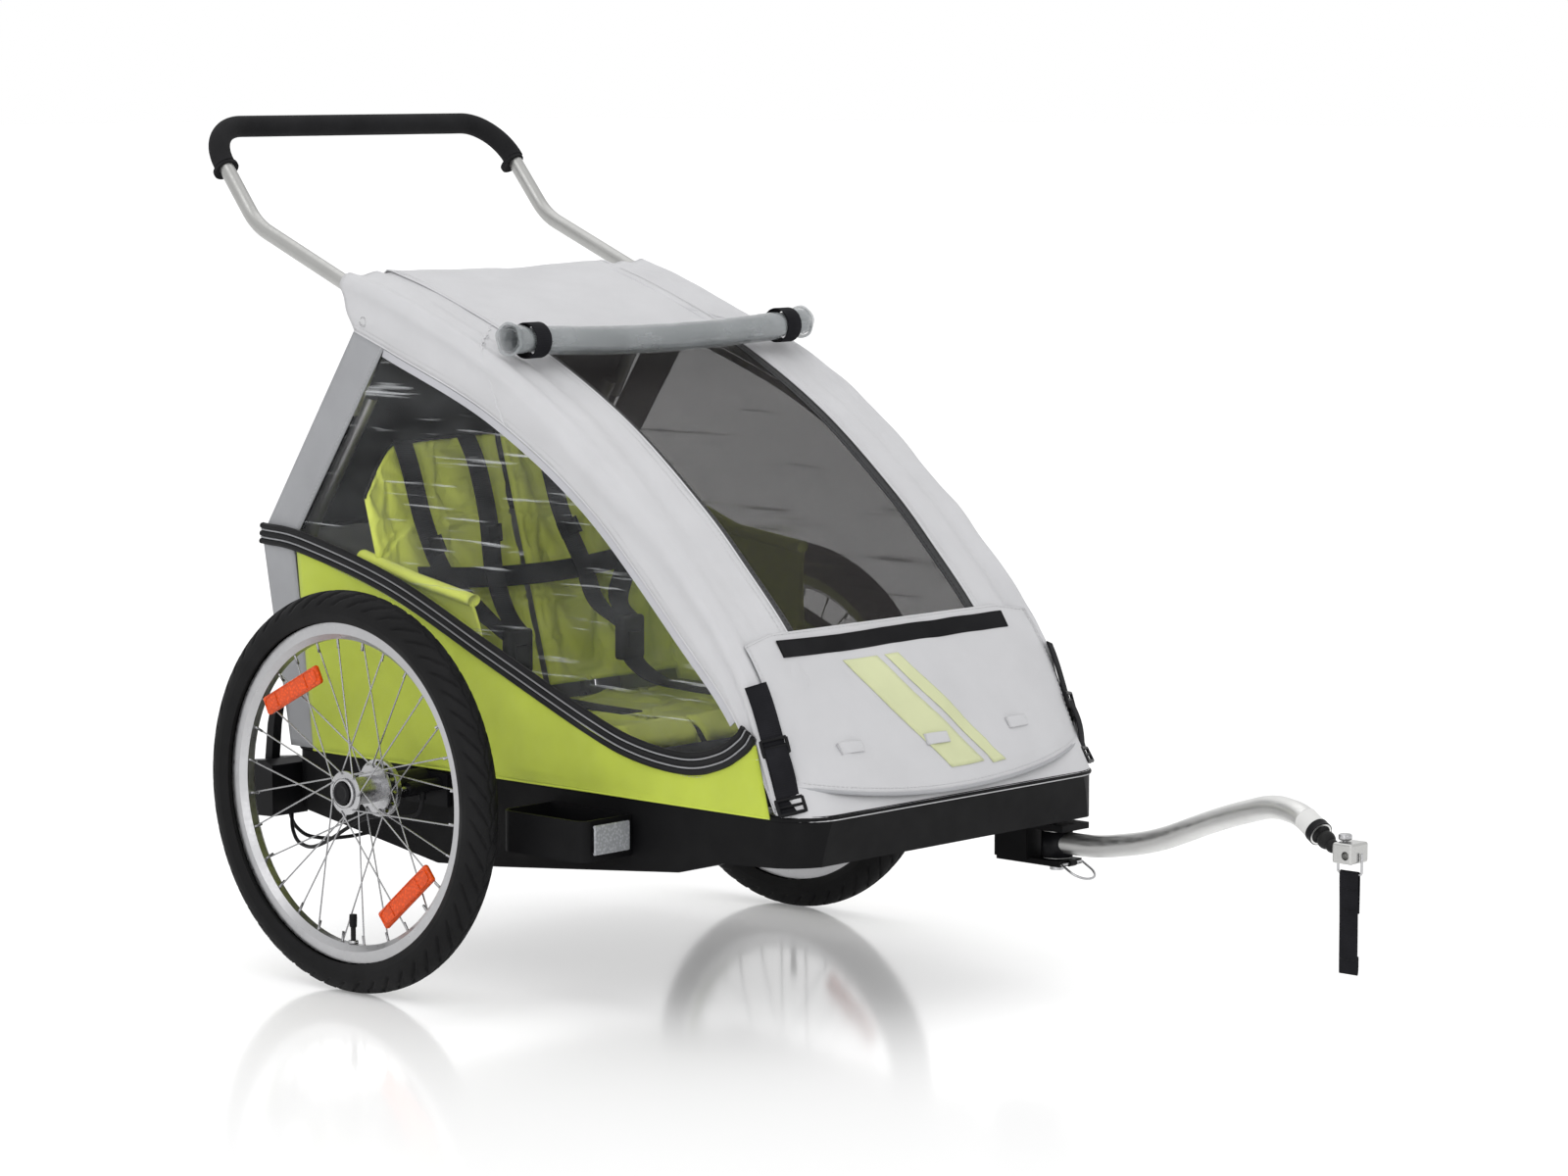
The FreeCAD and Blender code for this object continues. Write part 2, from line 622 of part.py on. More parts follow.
def side_window(side):
    """Clear and mesh side window between band and trim line."""
    lower = [(y, z + 7) for y, z in TRIM_LINE]
    outline = lower + [(-560, 350)] + WINDOW_EDGE[-2::-1] + [(118, 815)]
    a, b = sorted((side * (BAND_X + 0.6), side * (BAND_X + 2.1)))
    return plate(outline, a, b)


def front_window():
    """Insect mesh over the entrance."""
    return strip(FRONT_OUTLINE[2:], SKIN - 1, -WINDOW_HALF, WINDOW_HALF)


def front_panel():
    """Lower front flap between the hoops."""
    return strip([(-648, 277), (-563, 416), (-517, 473)], SKIN, -WINDOW_HALF - 1, WINDOW_HALF + 1)


def rolled_cover():
    """Clear rain cover rolled up over the entrance."""
    route = [(-268, -139, 807), (-150, -143, 802), (0, -147, 799), (150, -143, 802), (268, -139, 807)]
    return pipe(route, 21)


def strap_buckle(y, z, lean):
    """Flat hook buckle of one front strap, on the right side."""
    body = box(-258, -232, y - 9, y - 3, z - 10, z + 10)
    body = body.makeFillet(2, body.Edges)
    body.rotate(V(-245, y, z), V(1, 0, 0), lean)
    return body


# ---------------------------------------------------------------- push bar

def push_route():
    """The push bar's route from one socket round to the other."""
    way_y, way_z = unit(HOOP_RUN[-1], HOOP_END)
    bend = (BAR_BEND_Y, HOOP_END[1] + (BAR_BEND_Y - HOOP_END[0]) * way_z / way_y)
    half = [(HOOP_X, *socket_point(-BAR_INSERT)), (HOOP_X, *bend), (HOOP_X - 2, *BAR_TOP)]
    return half + [(-x, y, z) for x, y, z in half[::-1]]


def push_bar():
    """Bent tube that plugs into the hoops."""
    radii = {1: BAR_ELBOW, 2: BAR_CORNER, 3: BAR_CORNER, 4: BAR_ELBOW}
    return tube(push_route(), BAR_TUBE, TUBE_WALL, radii)


def foam_grip():
    """Foam sleeve round the bar's top."""
    route = push_route()
    side = (HOOP_X - 1, *FOAM_START)
    points = [side, route[2], route[3], (-side[0], side[1], side[2])]
    radii = {1: BAR_CORNER, 2: BAR_CORNER}
    return pipe(points, FOAM_R, radii).cut(pipe(points, BAR_TUBE, radii))


# ---------------------------------------------------------------- tow arm and hitch

def tow_bracket():
    """Clevis under the tub's left front corner, with the arm's pivot."""
    x, y = ARM_PIVOT
    parts = [box(x - 26, x + 26, y - 30, -520, 195, 203), box(x - 22, x + 22, y - 22, -520, 150, 157),
             box(x - 26, x + 26, -572, -520, 155, 197)]
    loop_y, loop_z = LOOP_BAR
    parts.append(rod((x - 6, loop_y, loop_z), (x + 6, loop_y, loop_z), 4))
    body = fused(parts)
    body = body.cut(rod((x - 26, loop_y, loop_z), (x + 26, loop_y, loop_z), LOOP_WIRE + RUNNING))
    return body.cut(rod((x, y, 140), (x, y, 210), ARM_BOLT_R))


def tow_arm():
    """Bent aluminium drawbar with its pivot eye."""
    arm = pipe(ARM_ROUTE, ARM_TUBE)
    x, y = ARM_PIVOT
    arm = arm.fuse(rod((x, y, 159), (x, y, 193), 19)).removeSplitter()
    bore = pipe(ARM_ROUTE[1:], ARM_TUBE - 2)
    return arm.cut(bore).cut(rod((x, y, 150), (x, y, 200), ARM_BOLT_R + RUNNING))


def arm_direction():
    """Unit vector along the arm's last run."""
    return (V(*ARM_ROUTE[-1]) - V(*ARM_ROUTE[-2])).normalize()


def hitch_elastomer():
    """Rubber joint between arm and coupling block, round at both ends so that it can turn."""
    neck = RUBBER_FAR_R - 1
    near_end = math.sqrt(RUBBER_NEAR_R ** 2 - neck ** 2)
    far_end = RUBBER_REACH - math.sqrt(RUBBER_FAR_R ** 2 - neck ** 2)
    tip = RUBBER_REACH + RUBBER_FAR_R
    outline = Part.Wire([
        Part.Arc(V(-RUBBER_NEAR_R, 0, 0), V(0, RUBBER_NEAR_R, 0), V(near_end, neck, 0)).toShape(),
        Part.LineSegment(V(near_end, neck, 0), V(far_end, neck, 0)).toShape(),
        Part.Arc(V(far_end, neck, 0), V(RUBBER_REACH, RUBBER_FAR_R, 0), V(tip, 0, 0)).toShape(),
        Part.LineSegment(V(tip, 0, 0), V(-RUBBER_NEAR_R, 0, 0)).toShape()])
    body = Part.Face(outline).revolve(V(0, 0, 0), V(1, 0, 0), 360)
    along = arm_direction()
    start = V(*ARM_ROUTE[-1]) + along * (RUBBER_NEAR_R + 0.4)
    body.Placement = FreeCAD.Placement(start, FreeCAD.Rotation(V(1, 0, 0), along))
    return body


def hitch_block():
    """Square coupling block with a cross bore for the bicycle's axle stud and a pin hole."""
    x, y, z = BLOCK_AT
    a, b, c = (d / 2 for d in BLOCK)
    body = box(x - a, x + a, y - b, y + b, z - c, z + c)
    body = body.makeFillet(3, body.Edges)
    body = body.cut(rod((x - 30, y - 5, z - 2), (x + 30, y - 5, z - 2), HITCH_BORE_R))
    y += PIN_SETBACK
    return body.cut(rod((x, y, z - 30), (x, y, z + 30), 3 + RUNNING))


def hitch_pin():
    """Locking pin with a round knob, pulled up to free the block."""
    x, y, z = BLOCK_AT
    y += PIN_SETBACK
    pin = rod((x, y, z - 11), (x, y, z + 14), 3)
    knob = rod((x, y, z + 13), (x, y, z + 21), 8)
    knob = knob.makeFillet(3, knob.Edges)
    return pin.fuse(knob).removeSplitter()


def hitch_bail():
    """Wire bail under the block, from its front to its back; the safety strap hangs from it."""
    x, y, z = BLOCK_AT
    half = BLOCK[1] / 2 + BAIL_GAP
    route = [(x, y - half, z), (x, y - half, z - BAIL_DROP), (x, y + half, z - BAIL_DROP), (x, y + half, z)]
    return pipe(route, BAIL_WIRE, {1: 3, 2: 3})


def safety_strap():
    """Webbing safety strap, doubled, with its sewn loop round the bail."""
    x, y, z = BLOCK_AT
    top = z - BAIL_DROP
    front, back = y - WEBBING_HALF, y + WEBBING_HALF
    loop = rod((x, front, top), (x, back, top), 4.2)
    tail = box(x - 2.2, x + 2.2, front, back, top - STRAP_DROP, top - 2.5)
    return loop.fuse(tail).cut(rod((x, front - 5, top), (x, back + 5, top), BAIL_WIRE + 0.1)).removeSplitter()


def pull_loop():
    """Wire D-ring of the drawbar's latch, hinged in a sleeve at the bracket's front."""
    x, (y, z) = ARM_PIVOT[0], LOOP_BAR
    half, slope = LOOP_WIDTH / 2, math.radians(LOOP_SLOPE)
    far_y, far_z = y - LOOP_REACH * math.cos(slope), z - LOOP_REACH * math.sin(slope)
    bow = pipe([(x - half, y, z), (x - half, far_y, far_z), (x + half, far_y, far_z), (x + half, y, z)],
               LOOP_WIRE, {1: half - 1, 2: half - 1})
    bar = rod((x - half, y, z), (x + half, y, z), LOOP_WIRE)
    ends = [Part.makeSphere(LOOP_WIRE, V(x - half, y, z)), Part.makeSphere(LOOP_WIRE, V(x + half, y, z))]
    return fused([bow, bar] + ends)


# ---------------------------------------------------------------- parking brake

def brake_housing():
    """Moulded housing of the parking brake at the tub's right rear corner."""
    y, z = LEVER_AXIS
    outline = [(253, 180), (300, 178), (314, 190), (316, 226), (304, 248), (268, 252), (253, 246)]
    body = plate(outline, -312, -252)
    slot = box(-294, -274, 270, 330, 212, 260)
    body = body.cut(slot)
    pin = rod((-300, y, z), (-268, y, z), 3)
    return body.fuse(pin).removeSplitter()


def brake_lever():
    """Parking brake lever, turned up at rest."""
    y, z = LEVER_AXIS
    boss = rod((LEVER_X - 8, y, z), (LEVER_X + 8, y, z), 8)
    shape = [(-7, 2), (6, 4), (-1, 60), (-10, 92), (-20, 92), (-13, 58)]
    outline = [(y + dy, z + dz) for dy, dz in shape]
    arm = plate(outline, LEVER_X - 7, LEVER_X + 7)
    return boss.fuse(arm).removeSplitter().cut(across((y, z), 3 + RUNNING, 320))


def tightest(points):
    """The smallest arc radius along a cord's route."""
    radii = []
    for n in range(1, len(points) - 1):
        back, ahead = V(*points[n - 1]) - V(*points[n]), V(*points[n + 1]) - V(*points[n])
        half = (math.pi - back.getAngle(ahead)) / 2
        radii.append(0.45 * min(back.Length, ahead.Length) / math.tan(half))
    return min(radii)


def brake_cables():
    """Bowden cables from the housing to both brake-pin barrels."""
    for route in (CABLE_RIGHT, CABLE_LEFT):
        print("cable radii from", round(tightest(route), 1), "length", round(smooth_wire(route).Length, 1))
    return group([pipe(CABLE_RIGHT, CABLE_R), pipe(CABLE_LEFT, CABLE_R)])


def main():
    """Build every node."""
    os.makedirs("parts", exist_ok=True)
    for name, s in SIDES.items():
        save(tyre(s), f"tyre_{name}")
        save(inner_tube(s), f"inner_tube_{name}")
        save(rim(s), f"rim_{name}")
        save(hub(s), f"hub_{name}")
        save(bearings(s), f"wheel_bearings_{name}")
        save(spokes(s), f"spokes_{name}")
        save(wheel_reflectors(s), f"wheel_reflectors_{name}")
        save(hub_button(s), f"hub_button_{name}")
        save(brake_pin(s), f"brake_pin_{name}")
        save(side_panel(s), f"side_panel_{name}")
        save(side_band(s), f"side_band_{name}")
        save(side_window(s), f"side_window_{name}")
        save(buckle_button(s * SEAT_CENTRE), f"buckle_button_{name}")
    save(tub(), "tub")
    save(base_frame(), "base_frame")
    save(hinge_bolts(), "hinge_bolts")
    save(axle_tube(), "axle_tube")
    save(group(both(stub_axle())), "stub_axles")
    save(group([wheel_guard(-1), wheel_guard(1)]), "wheel_guards")
    save(group(both(front_reflector())), "front_reflectors")
    save(footwell(), "footwell")
    save(seat_base(), "seat_base")
    save(seat_back(), "seat_back")
    save(harness(), "harness")
    save(group([buckle_housing(-SEAT_CENTRE), buckle_housing(SEAT_CENTRE)]), "buckle_housings")
    save(canopy_frame(), "canopy_frame")
    save(rear_frame(), "rear_frame")
    save(rear_panel_lower(), "rear_panel_lower")
    save(rear_panel_upper(), "rear_panel_upper")
    save(roof(), "roof")
    save(front_window(), "front_window")
    save(front_panel(), "front_panel")
    save(rolled_cover(), "rolled_cover")
    hooks = both(strap_buckle(-569, 412, -24)) + both(strap_buckle(-612, 300, -22))
    save(group(hooks), "strap_buckles")
    save(push_bar(), "push_bar")
    save(foam_grip(), "foam_grip")
    save(tow_bracket(), "tow_bracket")
    save(tow_arm(), "tow_arm")
    save(hitch_elastomer(), "hitch_elastomer")
    save(hitch_block(), "hitch_block")
    save(hitch_pin(), "hitch_pin")
    save(hitch_bail(), "hitch_bail")
    save(safety_strap(), "safety_strap")
    save(pull_loop(), "pull_loop")
    save(brake_housing(), "brake_housing")
    save(brake_lever(), "brake_lever")
    save(brake_cables(), "brake_cables")


main()
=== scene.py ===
"""Looks of a two-seat child bicycle trailer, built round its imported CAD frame.

Metres, in the frame's own axes: +Z up, travel along -Y, +X the trailer's left side.
"""
import math

import bpy
import numpy as np
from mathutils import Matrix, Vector, noise


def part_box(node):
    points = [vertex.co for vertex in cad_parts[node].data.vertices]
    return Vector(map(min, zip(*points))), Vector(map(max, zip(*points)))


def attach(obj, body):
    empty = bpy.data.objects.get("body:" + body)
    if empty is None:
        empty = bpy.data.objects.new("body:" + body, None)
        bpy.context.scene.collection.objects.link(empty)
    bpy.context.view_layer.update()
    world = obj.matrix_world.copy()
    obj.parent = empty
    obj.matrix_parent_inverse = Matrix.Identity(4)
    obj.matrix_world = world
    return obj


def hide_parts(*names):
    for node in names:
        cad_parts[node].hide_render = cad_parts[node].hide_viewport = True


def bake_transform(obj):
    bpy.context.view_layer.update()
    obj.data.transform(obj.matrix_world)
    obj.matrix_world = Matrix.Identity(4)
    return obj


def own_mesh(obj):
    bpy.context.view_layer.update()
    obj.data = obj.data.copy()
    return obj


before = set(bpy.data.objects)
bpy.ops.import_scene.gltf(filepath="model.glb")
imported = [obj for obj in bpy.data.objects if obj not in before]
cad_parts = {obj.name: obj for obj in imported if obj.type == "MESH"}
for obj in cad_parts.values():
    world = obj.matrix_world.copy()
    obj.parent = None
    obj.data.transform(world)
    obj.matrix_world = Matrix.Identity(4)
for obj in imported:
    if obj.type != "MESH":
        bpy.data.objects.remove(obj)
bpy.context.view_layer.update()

SIDES = {"right": -1, "left": 1}
SQUARE = ((-1, -1), (1, -1), (1, 1), (-1, 1), (-1, -1))
ENDS = (("right", False), ("left", True))  # edges of a sheet whose rows run from right to left

# ---------------------------------------------------------------- driving dimensions

CAMERA_AT = (-4.1703, -4.2010, 1.1471)
CAMERA_YAW = math.radians(47.305)  # from +Y towards +X
CAMERA_PITCH = math.radians(6.539)  # downwards
CAMERA_LENS = 105.87

SKIN_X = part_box("side_band_left")[1].x  # outer face of the side fabric
CLOTH = 0.0012
CORNER_R = 0.017  # fabric's bend round a hoop tube
EDGE_FADE = 4  # grid steps over which wrinkles fade out at an edge
MIDDLE = (0.0, -0.12, 0.45)  # a point inside the cabin, which outward directions leave
HOOP_LINE = [(-0.612, 0.272), (-0.590, 0.335), (-0.558, 0.414), (-0.514, 0.475), (-0.454, 0.539),
             (-0.384, 0.607), (-0.266, 0.700), (-0.140, 0.773), (-0.034, 0.818), (0.073, 0.857),
             (0.150, 0.879)]
WINDOW_EDGE = [(-0.596, 0.280), (-0.560, 0.335), (-0.518, 0.394), (-0.454, 0.458), (-0.292, 0.610),
               (-0.123, 0.714), (0.053, 0.782), (0.126, 0.808)]
TRIM_LINE = [(0.303, 0.541), (0.223, 0.533), (0.057, 0.491), (-0.120, 0.420), (-0.290, 0.352),
             (-0.372, 0.327), (-0.454, 0.319), (-0.510, 0.331), (-0.545, 0.352), (-0.556, 0.366)]
REAR_TOP = (0.126, 0.808)  # the side's rear corner under the roof
KNEE = (0.303, 0.541)
REAR_FOOT = (0.252, 0.270)
WINDOW_LOW = 0.171  # half width of the front mesh at its foot
WINDOW_TOP = 0.177
WINDOW_FOOT = (-0.524, 0.464)
ROOF_START = -0.105  # y where the roof's front hem lies under the roll
BACK_FOOT = (0.055, 0.332)
BACK_HEAD = (0.150, 0.668)
SEAT_X = 0.102
STRAP_X = 0.122  # middle of one child's shoulder straps
ARM_BEND = (0.140, -1.045, 0.273)  # ends of the tow arm's last straight run
ARM_END = (0.129, -1.081, 0.255)

# ---------------------------------------------------------------- curves and meshes


def travelled(line):
    """How far along a polyline each of its points lies."""
    return np.concatenate([[0], np.cumsum(np.linalg.norm(np.diff(line, axis=0), axis=1))])


def respaced(line, count):
    """count points evenly along a polyline."""
    line = np.asarray(line, float)
    along = travelled(line)
    at = np.linspace(0, along[-1], count)
    return np.stack([np.interp(at, along, line[:, k]) for k in range(line.shape[1])], axis=1)


def unit(vectors):
    """Rows of vectors scaled to length 1."""
    return vectors / np.maximum(np.linalg.norm(vectors, axis=-1, keepdims=True), 1e-9)


def smooth(points, count):
    """count points evenly along a smooth curve through the given points."""
    p = np.array(points, float)
    p = np.vstack([2 * p[0] - p[1], p, 2 * p[-1] - p[-2]])
    t = np.linspace(0, 1, 24, endpoint=False)[:, None]
    runs = []
    for a, b, c, d in zip(p[:-3], p[1:-2], p[2:-1], p[3:]):
        runs.append(0.5 * (2 * b + (c - a) * t + (2 * a - 5 * b + 4 * c - d) * t ** 2
                           + (3 * b - a - 3 * c + d) * t ** 3))
    return respaced(np.vstack(runs + [p[-2:-1]]), count)


def normals(line):
    """Unit normals of a (y, z) line, on its left as it runs."""
    d = np.gradient(line, axis=0)
    return unit(np.stack([-d[:, 1], d[:, 0]], axis=1))


def offset(line, distance):
    """A (y, z) line moved sideways."""
    return line + normals(line) * distance


def at_x(line, x):
    """A (y, z) line as 3-D points at x."""
    return np.column_stack([np.full(len(line), x), line])


def ruled(first, last, count, bulge=0.0, way=(0, 0, 1)):
    """Rows of points from one line to another, bowed out by bulge in the middle."""
    rows = []
    for t in np.linspace(0, 1, count):
        bow = bulge * 4 * t * (1 - t) * np.array(way, float)
        rows.append(first * (1 - t) + last * t + bow)
    return np.array(rows)


def add_mesh(name, points, faces, material, uv=None):
    """A mesh object, smooth shaded, with optional UVs in metres for its weave."""
    mesh = bpy.data.meshes.new(name)
    mesh.from_pydata([tuple(p) for p in points], [], [tuple(f) for f in faces])
    if uv is not None:
        layer = mesh.uv_layers.new(name="weave")
        index = np.zeros(len(mesh.loops), int)
        mesh.loops.foreach_get("vertex_index", index)
        layer.data.foreach_set("uv", np.asarray(uv, np.float32)[index].ravel())
    mesh.polygons.foreach_set("use_smooth", [True] * len(mesh.polygons))
    mesh.update()
    piece = bpy.data.objects.new(name, mesh)
    bpy.context.scene.collection.objects.link(piece)
    piece.data.materials.append(mat[material])
    return piece


def grid_faces(rows, columns, loop_rows=False, loop_columns=False):
    """Quads of a grid of points, with either way closed into a loop."""
    faces = []
    for r in range(rows if loop_rows else rows - 1):
        for c in range(columns if loop_columns else columns - 1):
            r1, c1 = (r + 1) % rows, (c + 1) % columns
            faces.append((r * columns + c, r * columns + c1, r1 * columns + c1, r1 * columns + c))
    return faces


def sheet(name, rows, material, thick=CLOTH, crease=0.0, scale=9.0):
    """A cloth sheet through rows of points; crease is the height of its soft wrinkles."""
    rows = np.asarray(rows, float)
    m, n, _ = rows.shape
    across = np.linalg.norm(np.diff(rows, axis=1), axis=2).mean(axis=0)
    down = np.linalg.norm(np.diff(rows, axis=0), axis=2).mean(axis=1)
    u = np.tile(np.concatenate([[0], np.cumsum(across)]), (m, 1))
    v = np.tile(np.concatenate([[0], np.cumsum(down)])[:, None], (1, n))
    points = rows.reshape(-1, 3)
    if crease:
        points = wrinkled(rows, crease, scale).reshape(-1, 3)
    piece = add_mesh(name, points, grid_faces(m, n), material,
                     np.stack([u.ravel(), v.ravel()], axis=1))
    shell = piece.modifiers.new("thickness", "SOLIDIFY")
    shell.thickness = thick
    shell.offset = 0
    return piece


def wrinkled(rows, height, scale):
    """The rows again, moved along their normals by smooth noise that fades out at the edges."""
    n = unit(np.cross(np.gradient(rows, axis=1), np.gradient(rows, axis=0)))
    m, k, _ = rows.shape
    row_fade = np.minimum(np.arange(m), np.arange(m)[::-1]) / EDGE_FADE
    column_fade = np.minimum(np.arange(k), np.arange(k)[::-1]) / EDGE_FADE
    edge = np.minimum(row_fade[:, None], column_fade[None, :]).clip(0, 1)
    lift = np.array([[noise.noise(Vector(p) * scale) + 0.5 * noise.noise(Vector(p) * scale * 2.3)
                      for p in row] for row in rows])
    return rows + n * (lift * edge * height)[:, :, None]


def frames(path):
    """A steady pair of cross directions along a 3-D path."""
    d = unit(np.gradient(path, axis=0))
    up = np.array([0, 0, 1.0]) if abs(d[0][2]) < 0.9 else np.array([1.0, 0, 0])
    side = np.cross(d[0], up)
    sides = []
    for t in d:
        side = side - t * (side @ t)
        side = side / np.linalg.norm(side)
        sides.append(side)
    sides = np.array(sides)
    return sides, np.cross(d, sides)


def skin(name, path, side, up, section, material, closed=False, uv=None):
    """A solid bar with its section's (side, up) points at each point of a path, capped unless closed."""
    rings = path[:, None, :] + side[:, None, :] * section[None, :, :1] + up[:, None, :] * section[None, :, 1:]
    m, n = len(path), len(section)
    faces = grid_faces(m, n, closed, True)
    if not closed:
        faces += [tuple(range(n)), tuple((m - 1) * n + k for k in reversed(range(n)))]
    return add_mesh(name, rings.reshape(-1, 3), faces, material, uv)


def sweep(name, path, section, material, closed=False):
    """A solid bar that carries a closed section of (side, up) points along a path."""
    path = np.asarray(path, float)
    return skin(name, path, *frames(path), section, material, closed)


def circle(radius, count=12, flat=1.0):
    """A round section, or an oval one where flat is under 1."""
    t = np.arange(count) * 2 * math.pi / count
    return np.stack([radius * np.cos(t), radius * flat * np.sin(t)], axis=1)


def oblong(width, thick, round_share=0.45, count=5):
    """A rectangular section with rounded corners."""
    r = thick * round_share
    points = []
    for cx, cy, start in ((1, 1, 0), (-1, 1, 90), (-1, -1, 180), (1, -1, 270)):
        for t in np.radians(np.linspace(start, start + 90, count)):
            points.append((cx * (width / 2 - r) + r * math.cos(t), cy * (thick / 2 - r) + r * math.sin(t)))
    return np.array(points)


def ribbon(name, path, across, width, thick, material):
    """A flat strap along a path; across is the direction of its width, one or one per point."""
    path = np.asarray(path, float)
    across = np.broadcast_to(np.asarray(across, float), path.shape)
    d = unit(np.gradient(path, axis=0))
    w = unit(across - d * (across * d).sum(1)[:, None])
    section = oblong(width, thick)
    uv = np.stack([np.repeat(travelled(path), len(section)), np.tile(section[:, 0], len(path))], axis=1)
    return skin(name, path, w, np.cross(w, d), section, material, uv=uv)


def lathe(name, profile, centre, material, count=64, axis="x", side=1):
    """A closed profile of (along, radius) points turned about an axis through centre."""
    profile = np.asarray(profile, float)
    t = np.arange(count) * 2 * math.pi / count
    c, s = np.cos(t)[:, None], np.sin(t)[:, None]
    along = np.broadcast_to(profile[None, :, 0] * side, (count, len(profile)))
    r = profile[None, :, 1]
    parts = {"x": (along, r * c, r * s), "y": (r * c, along, r * s), "z": (r * c, r * s, along)}[axis]
    points = np.stack(parts, axis=2).reshape(-1, 3) + np.array(centre)
    return add_mesh(name, points, grid_faces(count, len(profile), True, True), material)


def joined(name, pieces):
    """Several objects of one material made one."""
    if len(pieces) > 1:
        with bpy.context.temp_override(active_object=pieces[0], selected_editable_objects=pieces,
                                       selected_objects=pieces):
            bpy.ops.object.join()
    pieces[0].name = name
    return pieces[0]


def stitches(name, line, lift, material, length=0.0042, gap=0.0022, thick=0.0007):
    """A row of thread stitches along a 3-D line, lifted off the cloth along the given directions."""
    line = np.asarray(line, float)
    count = max(2, int(travelled(line)[-1] / (length + gap)))
    ends = respaced(line, count + 1)
    lifts = respaced(np.broadcast_to(np.asarray(lift, float), line.shape), count + 1)
    points, faces = [], []
    share = length / (length + gap)
    for k in range(count):
        a, b, up = ends[k], ends[k] + (ends[k + 1] - ends[k]) * share, lifts[k]
        side = np.cross(b - a, up)
        side *= thick / 2 / max(np.linalg.norm(side), 1e-9)
        high = up * thick * 0.8
        base = len(points)
        points += [a - side, a + side, b + side, b - side,
                   a + (b - a) * 0.25 + high, b - (b - a) * 0.25 + high]
        faces += [(base, base + 1, base + 4), (base + 1, base + 2, base + 5, base + 4),
                  (base + 2, base + 3, base + 5), (base + 3, base, base + 4, base + 5),
                  (base, base + 3, base + 2, base + 1)]
    return add_mesh(name, points, faces, material)


# ---------------------------------------------------------------- materials


class Shader:
    """A new material with its Principled shader and short ways to add nodes."""

    def __init__(self, name, colour, roughness, metallic=0.0, **sockets):
        self.material = bpy.data.materials.new(name)
        self.material.use_nodes = True
        self.tree = self.material.node_tree
        self.shader = self.tree.nodes["Principled BSDF"]
        self.set("Base Color", (*colour, 1))
        self.set("Roughness", roughness)
        self.set("Metallic", metallic)
        for socket, value in sockets.items():
            self.set(socket.replace("_", " "), value)

    def set(self, socket, value):
        self.shader.inputs[socket].default_value = value

    def node(self, kind, **values):
        made = self.tree.nodes.new("ShaderNode" + kind)
        for key, value in values.items():
            if hasattr(made, key):
                setattr(made, key, value)
            else:
                made.inputs[key.replace("_", " ")].default_value = value
        return made

    def link(self, start, end):
        self.tree.links.new(start, end)

    def place(self, by_uv=False):
        """Coordinates in metres, along the cloth or in the object's own frame."""
        return self.node("TexCoord").outputs["UV" if by_uv else "Object"]

    def noise(self, scale, detail=3.0, by_uv=False, stretch=None):
        source = self.place(by_uv)
        if stretch:
            mapping = self.node("Mapping")
            mapping.inputs["Scale"].default_value = stretch
            self.link(source, mapping.inputs["Vector"])
            source = mapping.outputs["Vector"]
        made = self.node("TexNoise", Scale=scale, Detail=detail)
        self.link(source, made.inputs["Vector"])
        return made.outputs["Fac"]

    def waves(self, scale, direction, by_uv=True, distortion=0.0):
        made = self.node("TexWave", wave_type="BANDS", bands_direction=direction, Scale=scale,
                         Distortion=distortion)
        self.link(self.place(by_uv), made.inputs["Vector"])
        return made.outputs["Fac"]

    def ranged(self, source, low, high, start=0.0, end=1.0):
        made = self.node("MapRange", From_Min=start, From_Max=end, To_Min=low, To_Max=high)
        self.link(source, made.inputs["Value"])
        return made.outputs["Result"]

    def math(self, kind, a, b):
        made = self.node("Math", operation=kind)
        for k, value in enumerate((a, b)):
            if isinstance(value, (int, float)):
                made.inputs[k].default_value = value
            else:
                self.link(value, made.inputs[k])
        return made.outputs["Value"]

    def tint(self, source, low, high, start=0.3, end=0.7):
        """Colours the base between two colours as source goes from start to end."""
        ramp = self.node("ValToRGB")
        for stop, at, colour in zip(ramp.color_ramp.elements, (start, end), (low, high)):
            stop.position = at
            stop.color = (*colour, 1)
        self.link(source, ramp.inputs["Fac"])
        self.link(ramp.outputs["Color"], self.shader.inputs["Base Color"])

    def bump(self, source, distance, strength=1.0):
        made = self.node("Bump", Distance=distance, Strength=strength)
        self.link(source, made.inputs["Height"])
        previous = self.shader.inputs["Normal"]
        if previous.is_linked:
            self.link(previous.links[0].from_socket, made.inputs["Normal"])
        self.link(made.outputs["Normal"], previous)

    def rough(self, source, low, high):
        self.link(self.ranged(source, low, high, 0.3, 0.7), self.shader.inputs["Roughness"])


def shade(colour, factor):
    return tuple(min(1.0, c * factor) for c in colour)


def weave(s, threads=900.0, depth=0.00018, by_uv=True):
    """Over-and-under threads as bump; threads is the wave scale per metre."""
    s.bump(s.math("ADD", s.waves(threads, "X", by_uv), s.waves(threads, "Y", by_uv)), depth, 0.5)


def cloth(name, colour, roughness=0.72, spread=0.06, by_uv=True, fine=0.5, creases=0.0012):
    """Coated nylon: weave, soft creases and slight colour variation."""
    s = Shader(name, colour, roughness, Sheen_Weight=0.15, Sheen_Roughness=0.5, Specular_IOR_Level=0.35)
    s.tint(s.noise(14.0, 4.0), shade(colour, 1 - spread), shade(colour, 1 + spread))
    s.rough(s.noise(60.0), roughness - 0.06, roughness + 0.08)
    s.bump(s.noise(11.0, 5.0), creases, fine)
    weave(s, by_uv=by_uv)
    return s.material


